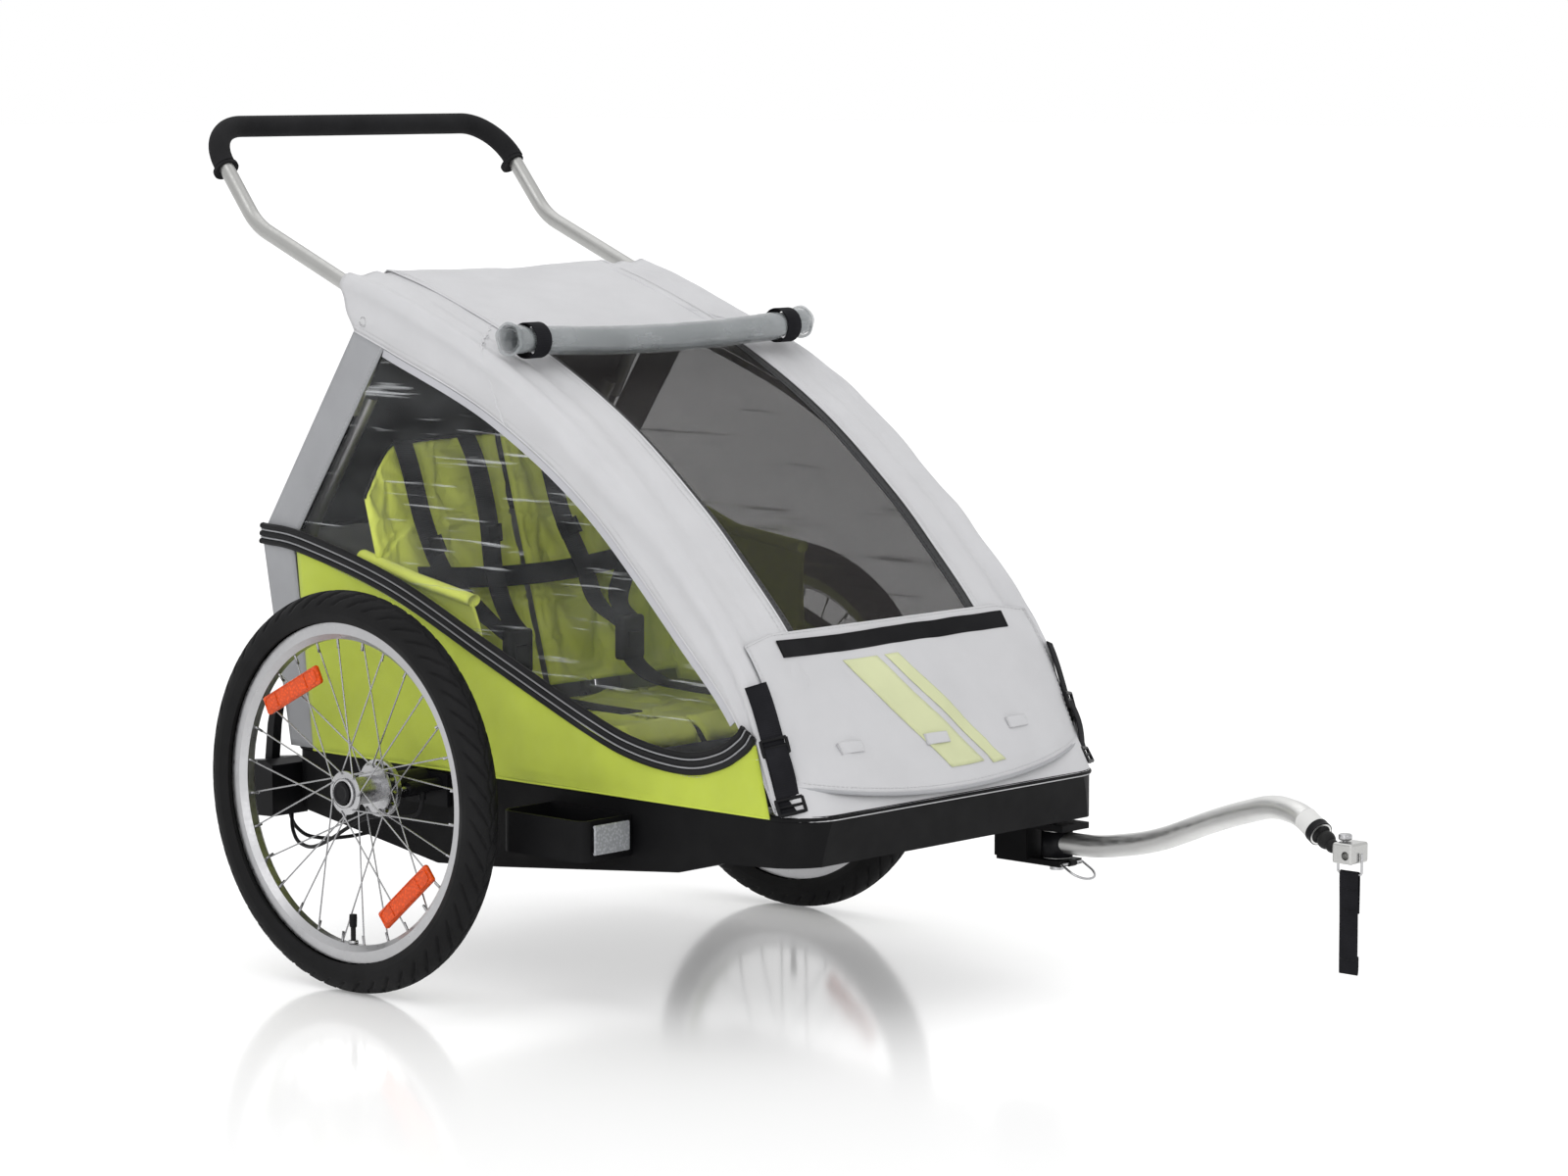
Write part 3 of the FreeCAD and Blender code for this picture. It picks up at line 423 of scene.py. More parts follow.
def netting(name, colour, open_alpha, solid_alpha, cell=0.0014):
    """Insect mesh: threads that cover more than the holes between them."""
    s = Shader(name, colour, 0.7, Specular_IOR_Level=0.1)
    scale = 2 * math.pi / (20 * cell)
    across = s.math("MAXIMUM", s.waves(scale, "X"), s.waves(scale, "Y"))
    s.link(s.ranged(across, open_alpha, solid_alpha, 0.35, 0.85), s.shader.inputs["Alpha"])
    s.bump(across, 0.0001, 0.2)
    s.tint(s.noise(8.0), shade(colour, 0.85), shade(colour, 1.15))
    return s.material


def film(name, colour, alpha, painted_glint=0.0, roughness=0.06):
    """Clear vinyl with a faint haze, and long bright streaks along its creases that are painted highlights.
    """
    s = Shader(name, colour, roughness, Specular_IOR_Level=0.6)
    haze = s.noise(9.0, 6.0, stretch=(1.0, 1.0, 2.2))
    # painted highlights: the film is made more opaque along these crease streaks, so its colour shows there
    # as glints
    crease = s.noise(22.0, 7.0, stretch=(1.0, 0.22, 5.0))
    cover = s.math("ADD", s.ranged(haze, alpha * 0.5, alpha * 1.6, 0.3, 0.7),
                   s.ranged(crease, 0.0, painted_glint, 0.60, 0.72))
    s.link(cover, s.shader.inputs["Alpha"])
    s.bump(s.noise(16.0, 5.0, stretch=(1.0, 0.7, 1.8)), 0.004, 0.8)
    return s.material


def metal(name, colour, roughness, brushed=None, anisotropic=0.0):
    """Aluminium or steel with fine brushing along one way."""
    s = Shader(name, colour, roughness, 1.0, Anisotropic=anisotropic)
    grain = s.noise(220.0, 4.0, stretch=brushed or (1.0, 1.0, 1.0))
    s.rough(grain, roughness * 0.8, roughness * 1.25)
    s.bump(grain, 0.00004, 0.35)
    s.tint(s.noise(18.0), shade(colour, 0.95), shade(colour, 1.03))
    return s.material


def plastic(name, colour, roughness, grain=0.00012, scale=900.0):
    """Moulded plastic with a fine spark-eroded grain."""
    s = Shader(name, colour, roughness, Specular_IOR_Level=0.12)
    s.bump(s.noise(scale, 2.0), grain, 0.4)
    s.rough(s.noise(30.0), roughness - 0.05, roughness + 0.07)
    s.tint(s.noise(9.0), shade(colour, 0.9), shade(colour, 1.12))
    return s.material


def rubber(name, colour, roughness=0.62, scale=600.0, depth=0.0002):
    """Rubber or foam with fine pits."""
    s = Shader(name, colour, roughness, Specular_IOR_Level=0.12)
    s.bump(s.noise(scale, 3.0), depth, 0.5)
    s.rough(s.noise(25.0), roughness - 0.06, roughness + 0.08)
    s.tint(s.noise(20.0), shade(colour, 0.85), shade(colour, 1.2))
    return s.material


def webbing(name, colour):
    """Ribbed strap: cross ribs and two selvedge lines."""
    s = Shader(name, colour, 0.75, Specular_IOR_Level=0.08)
    s.bump(s.waves(120.0, "X"), 0.00035, 0.6)
    s.bump(s.noise(500.0), 0.0001, 0.4)
    s.tint(s.noise(30.0), shade(colour, 0.8), shade(colour, 1.3))
    return s.material


def reflector(name, colour):
    """Prismatic reflector: a fine cell pattern under a glossy face."""
    s = Shader(name, colour, 0.16, Specular_IOR_Level=0.25, Coat_Weight=0.15, Coat_Roughness=0.04)
    cells = s.node("TexVoronoi", Scale=260.0)
    s.link(s.place(), cells.inputs["Vector"])
    s.bump(cells.outputs["Distance"], 0.0006, 0.6)
    s.tint(cells.outputs["Distance"], shade(colour, 1.1), shade(colour, 0.72), 0.05, 0.6)
    return s.material


PALE = (0.535, 0.535, 0.55)
GREY = (0.31, 0.315, 0.33)
LIME = (0.47, 0.56, 0.055)

mat = {
    "pale": cloth("pale_nylon", PALE, 0.62, 0.03, creases=0.003),
    "pale_hem": cloth("pale_hem_nylon", (0.46, 0.46, 0.49), 0.6, 0.03),
    "pale_thread": rubber("pale_thread", (0.5, 0.5, 0.51), 0.8, 1500.0, 0.00005),
    "grey": cloth("grey_nylon", GREY, 0.7, 0.05),
    "lime": cloth("lime_nylon", LIME, 0.72, 0.07),
    # the seats' lime is a brighter copy of the side lime: painted light that makes up for the shade inside
    # the cabin
    "lime_seat": cloth("lime_seat_nylon", (0.72, 0.80, 0.12), 0.75, 0.08, by_uv=False, creases=0.003,
                       fine=0.7),
    "lime_print": cloth("lime_print", (0.58, 0.61, 0.36), 0.75, 0.05),
    "black_cloth": cloth("black_nylon", (0.016, 0.016, 0.018), 0.7, 0.2),
    "lining": cloth("dark_lining", (0.035, 0.036, 0.04), 0.8, 0.15),
    "front_mesh": netting("front_insect_mesh", (0.021, 0.019, 0.019), 0.34, 0.80),
    "rear_mesh": netting("rear_insect_mesh", (0.022, 0.022, 0.025), 0.985, 1.0),
    # the fourth argument of both films is painted highlight: streaks of more opaque film that stand for
    # glints along creases
    "window": film("clear_window", (0.62, 0.64, 0.66), 0.022, 0.42),
    "roll": film("rolled_vinyl", (0.33, 0.35, 0.36), 0.42, 0.3, 0.12),
    "webbing": webbing("black_webbing", (0.010, 0.010, 0.012)),
    "hook_tape": rubber("hook_tape", (0.010, 0.010, 0.011), 0.95, 1400.0, 0.0006),
    "piping": rubber("black_piping", (0.013, 0.013, 0.014), 0.5, 900.0, 0.00005),
    "tub": plastic("black_tub", (0.003, 0.003, 0.0035), 0.52, 0.0002, 500.0),
    "plastic": plastic("black_plastic", (0.006, 0.006, 0.007), 0.42),
    "tyre": rubber("tyre_rubber", (0.008, 0.008, 0.0085), 0.62, 450.0, 0.00025),
    "tube": rubber("tube_rubber", (0.012, 0.012, 0.012), 0.45),
    "foam": rubber("grip_foam", (0.013, 0.013, 0.014), 0.85, 1100.0, 0.0005),
    "rim": metal("rim_aluminium", (0.43, 0.43, 0.44), 0.34),
    "hub": metal("hub_aluminium", (0.42, 0.42, 0.43), 0.28),
    "steel": metal("bright_steel", (0.42, 0.42, 0.43), 0.25),
    "spoke": metal("spoke_steel", (0.34, 0.34, 0.35), 0.26),
    "tube_metal": metal("bar_aluminium", (0.40, 0.40, 0.39), 0.36, (0.15, 1.0, 1.0)),
    "arm_metal": metal("arm_aluminium", (0.68, 0.68, 0.67), 0.40, (1.0, 0.15, 1.0)),
    "frame_metal": metal("frame_aluminium", (0.45, 0.45, 0.46), 0.4),
    "block_metal": metal("block_steel", (0.46, 0.46, 0.45), 0.24),
    "orange": reflector("orange_reflector", (0.76, 0.075, 0.0)),
    "clear": reflector("clear_reflector", (0.33, 0.34, 0.36)),
    "label": cloth("blank_label", (0.60, 0.60, 0.59), 0.6, 0.02),
}

# ---------------------------------------------------------------- small helpers for pieces


def paint(node, material):
    """A CAD node keeps its shape and gets a finished material."""
    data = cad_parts[node].data
    data.materials.clear()
    data.materials.append(mat[material])


def facts(piece, slot=None, stands_for=()):
    """Hides the CAD nodes that a piece stands for, where it has any; the slot is not used."""
    if stands_for:
        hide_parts(*stands_for)
    return piece


def put(piece, body, slot=None, stands_for=()):
    """The piece rides on one body."""
    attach(piece, body)
    return facts(piece, slot, stands_for)


def crumples(piece, slot=None, stands_for=()):
    """Side and rear fabric, with its placing baked into its mesh."""
    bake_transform(piece)
    return facts(piece, slot, stands_for)


def on_canopy(piece, slot=None, stands_for=()):
    """The piece rides on the canopy's frame."""
    return put(piece, "canopy", slot, stands_for)


def fold_squash(piece, slot=None, stands_for=()):
    """Seats and straps ride on the chassis, each with a mesh of its own."""
    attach(piece, "chassis")
    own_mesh(piece)
    return facts(piece, slot, stands_for)


LEAST_AREA = 0.31  # smallest area taken, as a share of width times length


def cloth_area(rows):
    """Area of a grid of points."""
    a, b = np.diff(rows[:, :-1], axis=0), np.diff(rows[:-1], axis=1)
    return float(np.linalg.norm(np.cross(a, b), axis=2).sum())


def declare(rows):
    """Works out a sheet's flat width, length and area from its own rows; nothing is done with them."""
    rows = np.asarray(rows)
    width = float(np.linalg.norm(np.diff(rows, axis=1), axis=2).sum(axis=1).max())
    length = float(np.linalg.norm(np.diff(rows, axis=0), axis=2).sum(axis=0).max())
    area = min(max(cloth_area(rows), LEAST_AREA * width * length), width * length)


def panel(name, rows, material, rule, slot, stands_for=(), thick=CLOTH, crease=0.0, scale=9.0):
    """A cloth sheet passed through one of the rules above."""
    piece = rule(sheet(name, rows, material, thick, crease, scale), slot, stands_for)
    declare(rows)


def outward(rows):
    """Unit normals of a grid of points, pointing away from the trailer's middle."""
    n = unit(np.cross(np.gradient(rows, axis=1), np.gradient(rows, axis=0)))
    away = rows - np.array(MIDDLE)
    n[(n * away).sum(axis=2) < 0] *= -1
    return n


def inset(rows, distance, from_end=False, columns=True):
    """The line a given distance in from one edge of a grid of points, and its outward normals."""
    n = outward(rows)
    if not columns:
        rows, n = rows.transpose(1, 0, 2), n.transpose(1, 0, 2)
    if from_end:
        rows, n = rows[:, ::-1], n[:, ::-1]
    line, lifts = [], []
    for row, up in zip(rows, n):
        along = travelled(row)
        line.append([np.interp(distance, along, row[:, k]) for k in range(3)])
        lifts.append([np.interp(distance, along, up[:, k]) for k in range(3)])
    return np.array(line), np.array(lifts)


def seam(name, rows, distance, material, from_end=False, columns=True, lift=CLOTH / 2):
    """A row of stitches along one edge of a sheet."""
    line, up = inset(rows, distance, from_end, columns)
    return stitches(name, line + up * lift, up, material)


def hem(name, rows, radius, material, from_end=False, columns=True):
    """A rolled edge or piping along one edge of a sheet."""
    line, _ = inset(rows, 0.0, from_end, columns)
    return sweep(name, line, circle(radius, 8), material)


# ---------------------------------------------------------------- wheels

TYRE_CENTRE_R = 0.2265
TYRE_SECTION = 0.0235
TYRE_WALL = 0.004
TREAD_LUGS = 54
LIP_ANGLE = math.radians(130)
GROOVE_DEPTH = 0.0030  # between the lugs
CENTRE_DEPTH = 0.0015  # of the zigzag round the middle
SIPE_DEPTH = 0.0008  # of the fine cuts in the lugs
RIDGE_HEIGHT = 0.0005  # of the line round each side wall
SPOKES = 28
SPOKE_STAGGER = 0.0015  # to either side, turn about
NIPPLE_RADII = (0.1905, 0.186, 0.178)  # from the rim inwards
REFLECTORS = ((41, 14), (221, 1))  # each one's angle round the wheel and its tilt, in degrees
REFLECTOR_R = 0.156
REFLECTOR_FACE = 0.0083  # out from the wheel's middle
REFLECTOR_HALF = (0.052, 0.0098)  # length and height
REFLECTOR_SQUARE = 0.45  # how square the border's ends are, 1 for an oval
REFLECTOR_BARS = (-0.030, 0.030)
REFLECTOR_WIRE = 0.0009  # radius of the raised lines
WHEEL_PAINT = {"rim": "rim", "hub": "hub", "wheel_bearings": "steel", "spokes": "spoke",
               "wheel_reflectors": "orange", "inner_tube": "tube", "hub_button": "plastic",
               "brake_pin": "steel"}

# closed profiles of turned parts: distance along the axis, radius
VALVE_CAP = [(0.0, 0.0), (0.0, 0.0046), (-0.004, 0.005), (-0.015, 0.0046), (-0.017, 0.003), (-0.017, 0.0)]
VALVE_NUT = [(0, 0.0034), (0, 0.0065), (-0.004, 0.0065), (-0.004, 0.0034)]
VALVE_CAP_R, VALVE_NUT_R = 0.153, 0.1855  # how far from the axle they start
LOCK_RING = [(0.012, 0.0145), (0.0125, 0.0185), (0.0155, 0.0185), (0.016, 0.0145)]
BUTTON_FACE = [(0.0178, 0.0), (0.0176, 0.006), (0.0184, 0.0095), (0.0188, 0.0115), (0.0180, 0.0135),
               (0.0170, 0.0139), (0.0165, 0.0)]


def step(value, low, high):
    """A smooth rise from 0 to 1."""
    t = np.clip((value - low) / (high - low), 0, 1)
    return t * t * (3 - 2 * t)


def tread_depth(theta, phi):
    """How deep the tread is cut, in metres, at an angle round the wheel and one round the section."""
    away = np.abs(phi)
    lug = (theta * TREAD_LUGS / (2 * math.pi) + 1.1 * away + 0.12 * np.sign(phi)) % 1.0
    groove = 1 - step(np.abs(lug - 0.5), 0.06, 0.12)
    shoulder = step(away, 0.16, 0.24) * (1 - step(away, 1.15, 1.35))
    zigzag = phi - 0.07 * np.sin(theta * TREAD_LUGS)
    centre = 1 - step(np.abs(zigzag), 0.035, 0.07)
    ridge = 1 - step(np.abs(away - 1.75), 0.02, 0.05)
    fine = (theta * TREAD_LUGS * 2 / (2 * math.pi) + 2.0 * away) % 1.0
    sipe = (1 - step(np.abs(fine - 0.5), 0.05, 0.1)) * step(away, 0.45, 0.5) * (1 - step(away, 0.85, 0.9))
    return (GROOVE_DEPTH * groove * shoulder + CENTRE_DEPTH * centre + SIPE_DEPTH * sipe
            - RIDGE_HEIGHT * ridge)


def tyre(name, side):
    """Tyre with a cut tread, plain side walls and an open inside."""
    x, _, z = wheel_centre(side)
    around = 720
    phi = np.linspace(-LIP_ANGLE, LIP_ANGLE, 61)
    inner = np.linspace(LIP_ANGLE, -LIP_ANGLE, 9)
    theta = np.arange(around) * 2 * math.pi / around
    tt, pp = np.meshgrid(theta, phi, indexing="ij")
    r = TYRE_SECTION - tread_depth(tt, pp) * step(LIP_ANGLE - np.abs(pp), 0, 0.3)
    ti, pi = np.meshgrid(theta, inner, indexing="ij")
    r_all = np.hstack([r, np.full_like(ti, TYRE_SECTION - TYRE_WALL)])
    p_all, t_all = np.hstack([pp, pi]), np.hstack([tt, ti])
    radius = TYRE_CENTRE_R + r_all * np.cos(p_all)
    points = np.stack([x + r_all * np.sin(p_all), radius * np.cos(t_all), z + radius * np.sin(t_all)],
                      axis=2)
    faces = grid_faces(around, p_all.shape[1], True, True)
    piece = add_mesh(f"tyre_tread_{name}", points.reshape(-1, 3), faces, "tyre")
    return put(piece, f"wheel_{name}", "tyre_rubber", [f"tyre_{name}"])


def wheel_centre(side):
    """Middle of a wheel from its rim's box."""
    low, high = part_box("rim_left" if side > 0 else "rim_right")
    return ((low.x + high.x) / 2, (low.y + high.y) / 2, (low.z + high.z) / 2)


def nipples(name, side):
    """The nuts that hold the spokes in the rim."""
    x, _, z = wheel_centre(side)
    parts = []
    for n in range(SPOKES):
        turn = 2 * math.pi * (n + 0.5) / SPOKES
        way = np.array([0.0, math.cos(turn), math.sin(turn)])
        at = np.array([x + side * (SPOKE_STAGGER if n % 2 == 0 else -SPOKE_STAGGER), 0.0, z])
        parts.append(sweep("nipple", [at + way * r for r in NIPPLE_RADII], circle(0.0017, 8), "spoke"))
    return put(joined(f"spoke_nipples_{name}", parts), f"wheel_{name}")


def turned_parts(name, side):
    """Valve cap and nut, the hub's lock ring and the button's dished face."""
    x, _, z = wheel_centre(side)
    wheel = f"wheel_{name}"
    put(lathe(f"valve_cap_{name}", VALVE_CAP, (x, 0, z - VALVE_CAP_R), "plastic", 16, "z"), wheel)
    put(lathe(f"valve_nut_{name}", VALVE_NUT, (x, 0, z - VALVE_NUT_R), "steel", 6, "z"), wheel)
    put(lathe(f"hub_lock_ring_{name}", LOCK_RING, (x, 0, z), "steel", 48, "x", side), wheel)
    put(lathe(f"button_face_{name}", BUTTON_FACE, (x, 0, z), "plastic", 48, "x", side),
        f"hub_button_{name}")


def reflector_frame(name, side):
    """Raised borders and bars of the two spoke reflectors."""
    x, _, z = wheel_centre(side)
    wire = circle(REFLECTOR_WIRE, 6)
    parts = []
    for degrees, tilt in REFLECTORS:
        turn, lean = math.radians(degrees), math.radians(degrees - tilt)
        out = np.array([0, math.sin(lean), math.cos(lean)])
        along = np.array([0, math.cos(lean), -math.sin(lean)])
        middle = np.array([x + side * REFLECTOR_FACE, REFLECTOR_R * math.sin(turn),
                           z + REFLECTOR_R * math.cos(turn)])
        corners = []
        for a in np.linspace(0, 2 * math.pi, 40, endpoint=False):
            ca, sa = math.cos(a), math.sin(a)
            corners.append(middle + along * REFLECTOR_HALF[0] * math.copysign(abs(ca) ** REFLECTOR_SQUARE, ca)
                           + out * REFLECTOR_HALF[1] * math.copysign(abs(sa) ** REFLECTOR_SQUARE, sa))
        corners.append(corners[0])
        parts.append(sweep("border", corners, wire, "orange"))
        for shift in REFLECTOR_BARS:
            at = middle + along * shift
            parts.append(sweep("bar", [at - out * 0.010, at + out * 0.010], wire, "orange"))
    return put(joined(f"reflector_borders_{name}", parts), f"wheel_{name}", "orange_reflector")


def wheels():
    """Both wheels: their detail pieces, and materials for the CAD pieces that stay."""
    for name, side in SIDES.items():
        tyre(name, side)
        nipples(name, side)
        turned_parts(name, side)
        reflector_frame(name, side)
        for node, material in WHEEL_PAINT.items():
            paint(f"{node}_{name}", material)


# ---------------------------------------------------------------- canopy fabric

STATIONS = 110
BAND_SINK = 0.002  # how far the band sinks in across the front
BAND_FOLDS = 0.0062  # height of its lengthwise folds
BAND_SEAM = (74, 90)  # stations of its cross seam, at the side and at the front
ROOF_HALF = 0.192
ROOF_SLACK = 0.009
ROOF_REAR = [(0.157, 0.8795), (0.1625, 0.874), (0.163, 0.866), (0.1615, 0.857)]
STUD_AT = (0.0002, 0.108, 0.820)  # x from the side fabric's face, y, z
STUD_PROFILE = [(0.0, 0.0), (0.0012, 0.0), (0.0018, 0.002), (0.0014, 0.0035), (0.0024, 0.005),
                (0.0022, 0.0066), (0.0, 0.0072)]
MESH_TOP_Y = -0.075  # where the entrance mesh ends, under the roof
MESH_SAG = 0.012
MESH_OVERLAP = 0.006  # how far it reaches under the bands


def band_rows(side):
    """Points over one hoop: up the side, round the tube and in across the front."""
    hoop, edge = smooth(HOOP_LINE, STATIONS), smooth(WINDOW_EDGE, STATIONS)
    n = normals(hoop)
    start = hoop - n * CORNER_R
    rows = []
    for k in range(STATIONS):
        row = []
        for t in np.linspace(0, 1, 9)[:-1]:
            p = edge[k] * (1 - t) + start[k] * t
            row.append((SKIN_X, *p))
        for a in np.radians(np.linspace(0, 90, 9)):
            p = start[k] + n[k] * CORNER_R * math.sin(a)
            row.append((SKIN_X - CORNER_R + CORNER_R * math.cos(a), *p))
        share = k / (STATIONS - 1)
        inner = WINDOW_LOW + (WINDOW_TOP - WINDOW_LOW) * share
        for t in np.linspace(0, 1, 16)[1:]:
            x = SKIN_X - CORNER_R + (inner - SKIN_X + CORNER_R) * t
            row.append((x, *(hoop[k] - n[k] * (BAND_SINK * math.sin(math.pi * t)))))
        rows.append(row)
    rows = np.array(rows)
    rows[:, :, 0] *= side
    return rows


def long_folds(rows, height):
    """Soft folds that run lengthwise, as in fabric pulled along a tube."""
    n = outward(rows)
    m, k, _ = rows.shape
    moved = rows.copy()
    for i in range(m):
        for j in range(k):
            p = Vector((j * 0.23, i * 0.035, float(rows[i, j, 0] > 0) * 9.0))
            fade = min(1.0, j / 3, (k - 1 - j) / 3)
            moved[i, j] += n[i, j] * height * fade * noise.noise(p)
    return moved


def bands():
    """The pale bands over the hoops, with their seams and edges."""
    for name, side in SIDES.items():
        rows = long_folds(band_rows(side), BAND_FOLDS)
        panel(f"hoop_band_{name}", rows, "pale", on_canopy, "pale_fabric", [f"side_band_{name}"], CLOTH,
              0.0016, 13.0)
        for label, distance, end in (("side_outer", 0.004, False), ("side_inner", 0.011, False),
                                     ("front_outer", 0.004, True), ("front_inner", 0.011, True)):
            on_canopy(seam(f"band_stitch_{label}_{name}", rows, distance, "pale_thread", end))
        on_canopy(hem(f"band_side_edge_{name}", rows, 0.0013, "pale"))
        on_canopy(hem(f"band_front_edge_{name}", rows, 0.0013, "pale", True))
        cross_seam(f"band_roof_seam_{name}", rows, *BAND_SEAM)


def cross_seam(name, rows, at_edge, at_end):
    """A sewn seam across a band, from one station at its side edge to another at its front edge."""
    n = outward(rows)
    columns = rows.shape[1]
    line, up = [], []
    for j in range(columns):
        k = int(round(at_edge + (at_end - at_edge) * j / (columns - 1)))
        line.append(rows[k, j])
        up.append(n[k, j])
    line, up = respaced(line, 60), respaced(up, 60)
    ridge = sweep(name, line + up * 0.0008, circle(0.0011, 6), "pale")
    on_canopy(ridge)
    shift = np.cross(unit(np.gradient(line, axis=0)), up) * 0.004
    on_canopy(stitches(f"{name}_stitch", line + shift + up * 0.0007, up, "pale_thread"))


def roof():
    """The roof panel between the hoops, slightly slack, with a turned-down rear edge."""
    hoop = smooth(HOOP_LINE, STATIONS)
    top = hoop[hoop[:, 0] > ROOF_START]
    lifted = offset(respaced(np.vstack([top, ROOF_REAR]), 46), 0.0015)
    rows = []
    for k, (y, z) in enumerate(lifted):
        slack = min(1.0, k / 8, (len(lifted) - 1 - k) / 8)
        row = []
        for t in np.linspace(-1, 1, 45):
            row.append((ROOF_HALF * t, y, z - ROOF_SLACK * slack * (1 - t * t)))
        rows.append(row)
    rows = np.array(rows)
    panel("roof_panel", rows, "pale", on_canopy, "pale_fabric", ["roof"], CLOTH, 0.0034, 7.0)
    for tag, end in ENDS:
        on_canopy(hem(f"roof_seam_{tag}", rows, 0.0012, "pale", end))
        on_canopy(seam(f"roof_stitch_{tag}", rows, 0.004, "pale_thread", end))
    on_canopy(hem("roof_rear_edge", rows, 0.0014, "pale", True, False))
    on_canopy(seam("roof_rear_stitch", rows, 0.008, "pale_thread", True, False))
    on_canopy(hem("roof_front_edge", rows, 0.0014, "pale", False, False))


def studs():
    """Press studs at the roof's rear corners."""
    for name, side in SIDES.items():
        proud, y, z = STUD_AT
        at = (side * (SKIN_X + proud), y, z)
        on_canopy(lathe(f"press_stud_{name}", STUD_PROFILE, at, "steel", 24, "x", side))


def front_mesh():
    """Insect mesh over the entrance, with its black binding."""
    hoop = smooth(HOOP_LINE, STATIONS)
    line = hoop[(hoop[:, 0] > WINDOW_FOOT[0] - 0.008) & (hoop[:, 0] < MESH_TOP_Y)]
    line = offset(respaced(line, 60), -0.0035)
    share = np.linspace(0, 1, len(line))
    half = WINDOW_LOW + (WINDOW_TOP - WINDOW_LOW) * share + MESH_OVERLAP
    n = normals(line)
    rows = []
    for k in range(len(line)):
        sag = MESH_SAG * math.sin(math.pi * share[k])
        row = []
        for t in np.linspace(-1, 1, 41):
            p = line[k] - n[k] * sag * (1 - t * t)
            row.append((half[k] * t, *p))
        rows.append(row)
    rows = np.array(rows)
    panel("entrance_mesh", rows, "front_mesh", on_canopy, "mesh_fabric", ["front_window"], 0.0006, 0.002, 6.0)
    for tag, end in ENDS:
        edge, up = inset(rows, 0.010, end)
        across = np.cross(np.gradient(edge, axis=0), up)
        on_canopy(ribbon(f"mesh_binding_{tag}", edge + up * 0.0012, across, 0.020, 0.0014, "black_cloth"))
        stitched, _ = inset(rows, 0.016, end)
        on_canopy(stitches(f"mesh_binding_stitch_{tag}", stitched + up * 0.0022, up, "piping"))
    edge, up = inset(rows, 0.008, True, False)
    on_canopy(ribbon("mesh_binding_top", edge + up * 0.0012, (0, 0.8, 0.5), 0.022, 0.0014, "black_cloth"))


FLAP_LINE = [(-0.518, 0.4715), (-0.529, 0.459), (-0.545, 0.440), (-0.575, 0.396), (-0.610, 0.340),
             (-0.636, 0.300), (-0.648, 0.279)]
FLAP_HALF = 0.2565  # half width at its top seam
FLAP_FLARE = 0.004  # more towards the hem
FLAP_HEM_CURVE = 0.125  # how much shorter the flap is at its sides
STITCH_LIFT = 0.0009  # of seams on the flap
TAPE_WAY = (0, 0.55, 0.83)  # up the flap, across its hook tape
TAPE_STITCH = (0, 0.0055, 0.0083)  # from the tape's middle to its upper stitches
TAB_WAY = (0, 0.5, 0.85)  # up the flap, across its tabs
TAB_PLACES = ((-0.160, 0.340), (-0.012, 0.336), (0.142, 0.340))
TAB_HALF = 0.020
STRIPES = (("wide", -0.085, 0.030), ("narrow", -0.030, 0.012))  # middle and half width
STRIPE_TOP_Z = 0.445
STRIPE_SLANT = 0.75
SKIRT_HALF = 0.2765
SKIRT_TOP, SKIRT_LOW = 0.330, 0.266
TUB_CORNER = 0.055  # radius of the tub's front corners
TUB_REAR_CORNER = 0.030


def flap_rows():
    """Front flap: wider and further out towards its curved hem."""
    profile = smooth(FLAP_LINE, 60)
    under = offset(smooth(HOOP_LINE, 400), 0.0024)
    rows = []
    for v in np.linspace(0, 1, 44):
        row = []
        for u in np.linspace(-1, 1, 61):
            drop = 0.05 * max(0.0, abs(u) - 0.8) / 0.2
            reach = drop + v * (1 - FLAP_HEM_CURVE * u * u - drop)
            k = reach * (len(profile) - 1)
            low = int(min(k, len(profile) - 2))
            y, z = profile[low] + (profile[low + 1] - profile[low]) * (k - low)
            close = np.interp(z, under[:200, 1], under[:200, 0])
            ease = 1 - abs(u) ** 5 * 0.75
            half = FLAP_HALF + FLAP_FLARE * step(v, 0.0, 0.7)
            row.append((half * u, close + (y - close) * ease, z))
        rows.append(row)
    return np.array(rows)


def front_flap():
    """Flap below the mesh, with hook tape, piped hem, three tabs and plain printed stripes."""
    rows = wrinkled(flap_rows(), 0.0044, 8.0)
    panel("entrance_flap", rows, "pale", on_canopy, "pale_fabric", ["front_panel"], 0.0014)
    on_canopy(hem("flap_hem", rows, 0.0022, "grey", True, False))
    on_canopy(seam("flap_hem_stitch", rows, 0.007, "pale_thread", True, False, STITCH_LIFT))
    on_canopy(seam("flap_top_stitch", rows, 0.003, "pale_thread", False, False, STITCH_LIFT))
    for tag, end in ENDS:
        on_canopy(seam(f"flap_side_stitch_{tag}", rows, 0.004, "pale_thread", end, True, STITCH_LIFT))
    tape, up = inset(rows, 0.024, False, False)
    tape, up = tape[6:-6], up[6:-6]
    on_canopy(ribbon("hook_tape_bar", tape + up * 0.0018, TAPE_WAY, 0.023, 0.0022, "hook_tape"))
    on_canopy(stitches("hook_tape_stitch", tape + up * 0.003 + np.array(TAPE_STITCH), up, "piping"))
    tabs(rows)
    stripes(rows)


def on_rows(rows, x, z):
    """The point of a grid nearest to a given x and z, and the outward normal there."""
    n = outward(rows)
    near = (rows[:, :, 0] - x) ** 2 + (rows[:, :, 2] - z) ** 2
    i, j = np.unravel_index(int(near.argmin()), near.shape)
    return rows[i, j], n[i, j]


